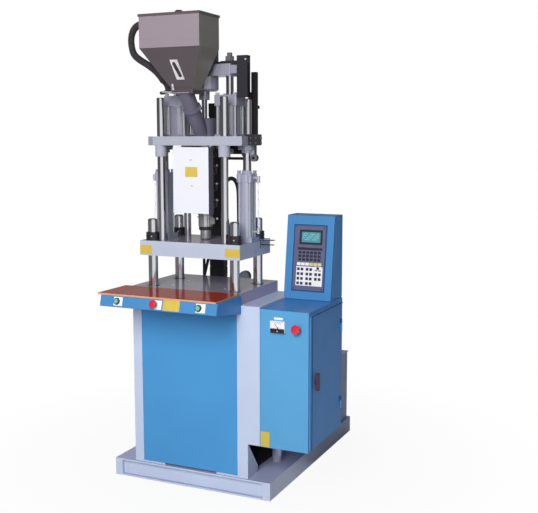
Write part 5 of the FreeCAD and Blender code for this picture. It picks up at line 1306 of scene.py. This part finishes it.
def toward(tree, direction, start, end):
    """Rises from 0 to 1 as the place seen from the machine turns toward a direction."""
    place = add_node(tree, "ShaderNodeTexCoord").outputs["Object"]
    flat = add_node(tree, "ShaderNodeVectorMath", {0: place, 1: (1, 1, 0)}, operation="MULTIPLY").outputs[0]
    unit = add_node(tree, "ShaderNodeVectorMath", {0: flat}, operation="NORMALIZE").outputs[0]
    dot = add_node(tree, "ShaderNodeVectorMath", {0: unit, 1: direction}, operation="DOT_PRODUCT")
    sockets = {"Value": dot.outputs["Value"], "From Min": start, "From Max": end}
    return add_node(tree, "ShaderNodeMapRange", sockets, interpolation_type="SMOOTHSTEP").outputs["Result"]


def background_shown(tree):
    """1 for rays that see the white surroundings; reflections find dark flags at both sides of the set."""
    path = add_node(tree, "ShaderNodeLightPath").outputs
    front = toward(tree, FRONT_FLAG, 0.62, 0.86)
    behind = calculated(tree, "MULTIPLY", toward(tree, REAR_FLAG, 0.70, 0.93), REAR_LIGHT)
    mirrored = calculated(tree, "MAXIMUM", calculated(tree, "MAXIMUM", front, behind), FLAG_LIGHT)
    seen = calculated(tree, "MAXIMUM", path["Is Camera Ray"], path["Is Transmission Ray"])
    return calculated(tree, "MAXIMUM", seen, calculated(tree, "MULTIPLY", path["Is Glossy Ray"], mirrored))


def floor_finish():
    """Pale floor that fades into the white surroundings away from the machine."""
    made = Finish("floor")
    made.set(Roughness=0.9, Specular_IOR_Level=0.1, Base_Color=(*colours().floor, 1))
    away = made.node("ShaderNodeVectorMath", {0: made.coordinates}, operation="LENGTH").outputs["Value"]
    sockets = {"Value": away, "From Min": 0.6, "From Max": 1.8, "To Min": 0.93, "To Max": 1.0}
    fade = made.node("ShaderNodeMapRange", sockets).outputs["Result"]
    share = calculated(made.tree, "MULTIPLY", fade, background_shown(made.tree))
    glow = made.node("ShaderNodeEmission").outputs["Emission"]
    mix = made.node("ShaderNodeMixShader", {"Fac": share, 1: made.shader.outputs["BSDF"], 2: glow})
    feed(made.tree.nodes["Material Output"].inputs["Surface"], mix.outputs["Shader"])
    return made.material


class MOULD_OT_stage(MachineOperator):
    """Pale floor, white surroundings, soft lamps and the camera"""
    bl_idname = "mould.stage"
    bl_label = "Stage"

    def make(self):
        self.floor()
        self.world()
        for lamp in LAMPS:
            area_lamp(*lamp)
        self.camera()
        bpy.context.scene.view_settings.view_transform = "Standard"

    def floor(self):
        shape = bmesh.new()
        bmesh.ops.create_circle(shape, cap_ends=True, segments=96, radius=FLOOR_RADIUS)
        mesh = bpy.data.meshes.new("floor")
        shape.to_mesh(mesh)
        shape.free()
        mesh.materials.append(floor_finish())
        floor = bpy.data.objects.new("floor", mesh)
        bpy.context.scene.collection.objects.link(floor)

    def world(self):
        world = bpy.data.worlds.new("studio")
        world.use_nodes = True
        tree = world.node_tree
        path = add_node(tree, "ShaderNodeLightPath").outputs
        straight = calculated(tree, "MAXIMUM", path["Is Camera Ray"], path["Is Glossy Ray"])
        sockets = {"Factor": straight, "A": (0.90, 0.90, 1.20, 1), "B": (1, 1, 1, 1)}
        shade = add_node(tree, "ShaderNodeMix", sockets, data_type="RGBA")
        background = tree.nodes["Background"]
        feed(background.inputs["Color"], shade.outputs["Result"])
        feed(background.inputs["Strength"], calculated(tree, "MAXIMUM", background_shown(tree), FLAG_LIGHT))
        bpy.context.scene.world = world

    def camera(self):
        camera = bpy.data.objects.new("camera", bpy.data.cameras.new("camera"))
        camera.data.sensor_fit = "HORIZONTAL"
        camera.data.sensor_width = 36
        camera.data.lens = sizes().lens * 1000
        camera.data.clip_end = 200
        camera.location = CAMERA_PLACE
        camera.rotation_euler = (math.radians(CAMERA_TILT), 0, math.radians(CAMERA_TURN))
        bpy.context.scene.collection.objects.link(camera)
        bpy.context.scene.camera = camera


# ---------------------------------------------------------------- add-on
STEPS = (MOULD_OT_stage, MOULD_OT_hoses, MOULD_OT_base, MOULD_OT_table, MOULD_OT_apron, MOULD_OT_clamp,
         MOULD_OT_guides, MOULD_OT_lift, MOULD_OT_injection, MOULD_OT_barrel, MOULD_OT_hopper,
         MOULD_OT_cabinet, MOULD_OT_console, MOULD_OT_hydraulics)


class MOULD_PT_panel(bpy.types.Panel):
    """Lists the steps and the values they use"""
    bl_label = "Moulding machine"
    bl_idname = "MOULD_PT_panel"
    bl_space_type = "VIEW_3D"
    bl_region_type = "UI"
    bl_category = "Moulding machine"

    def draw(self, context):
        for step in STEPS:
            self.layout.operator(step.bl_idname)
        for group in (context.scene.machine_colours, context.scene.machine_sizes):
            for name in group.__annotations__:
                self.layout.prop(group, name)


CLASSES = (MachineColours, MachineSizes, *STEPS, MOULD_PT_panel)


def register():
    for one in CLASSES:
        bpy.utils.register_class(one)
    bpy.types.Scene.machine_colours = PointerProperty(type=MachineColours)
    bpy.types.Scene.machine_sizes = PointerProperty(type=MachineSizes)


def unregister():
    del bpy.types.Scene.machine_sizes
    del bpy.types.Scene.machine_colours
    for one in reversed(CLASSES):
        bpy.utils.unregister_class(one)


def main():
    register()
    for build in (build_paints, build_metals, build_plastics):
        build(colours())
    for step in STEPS:
        group, name = step.bl_idname.split(".")
        getattr(getattr(bpy.ops, group), name)()


if __name__ == "__main__":
    main()
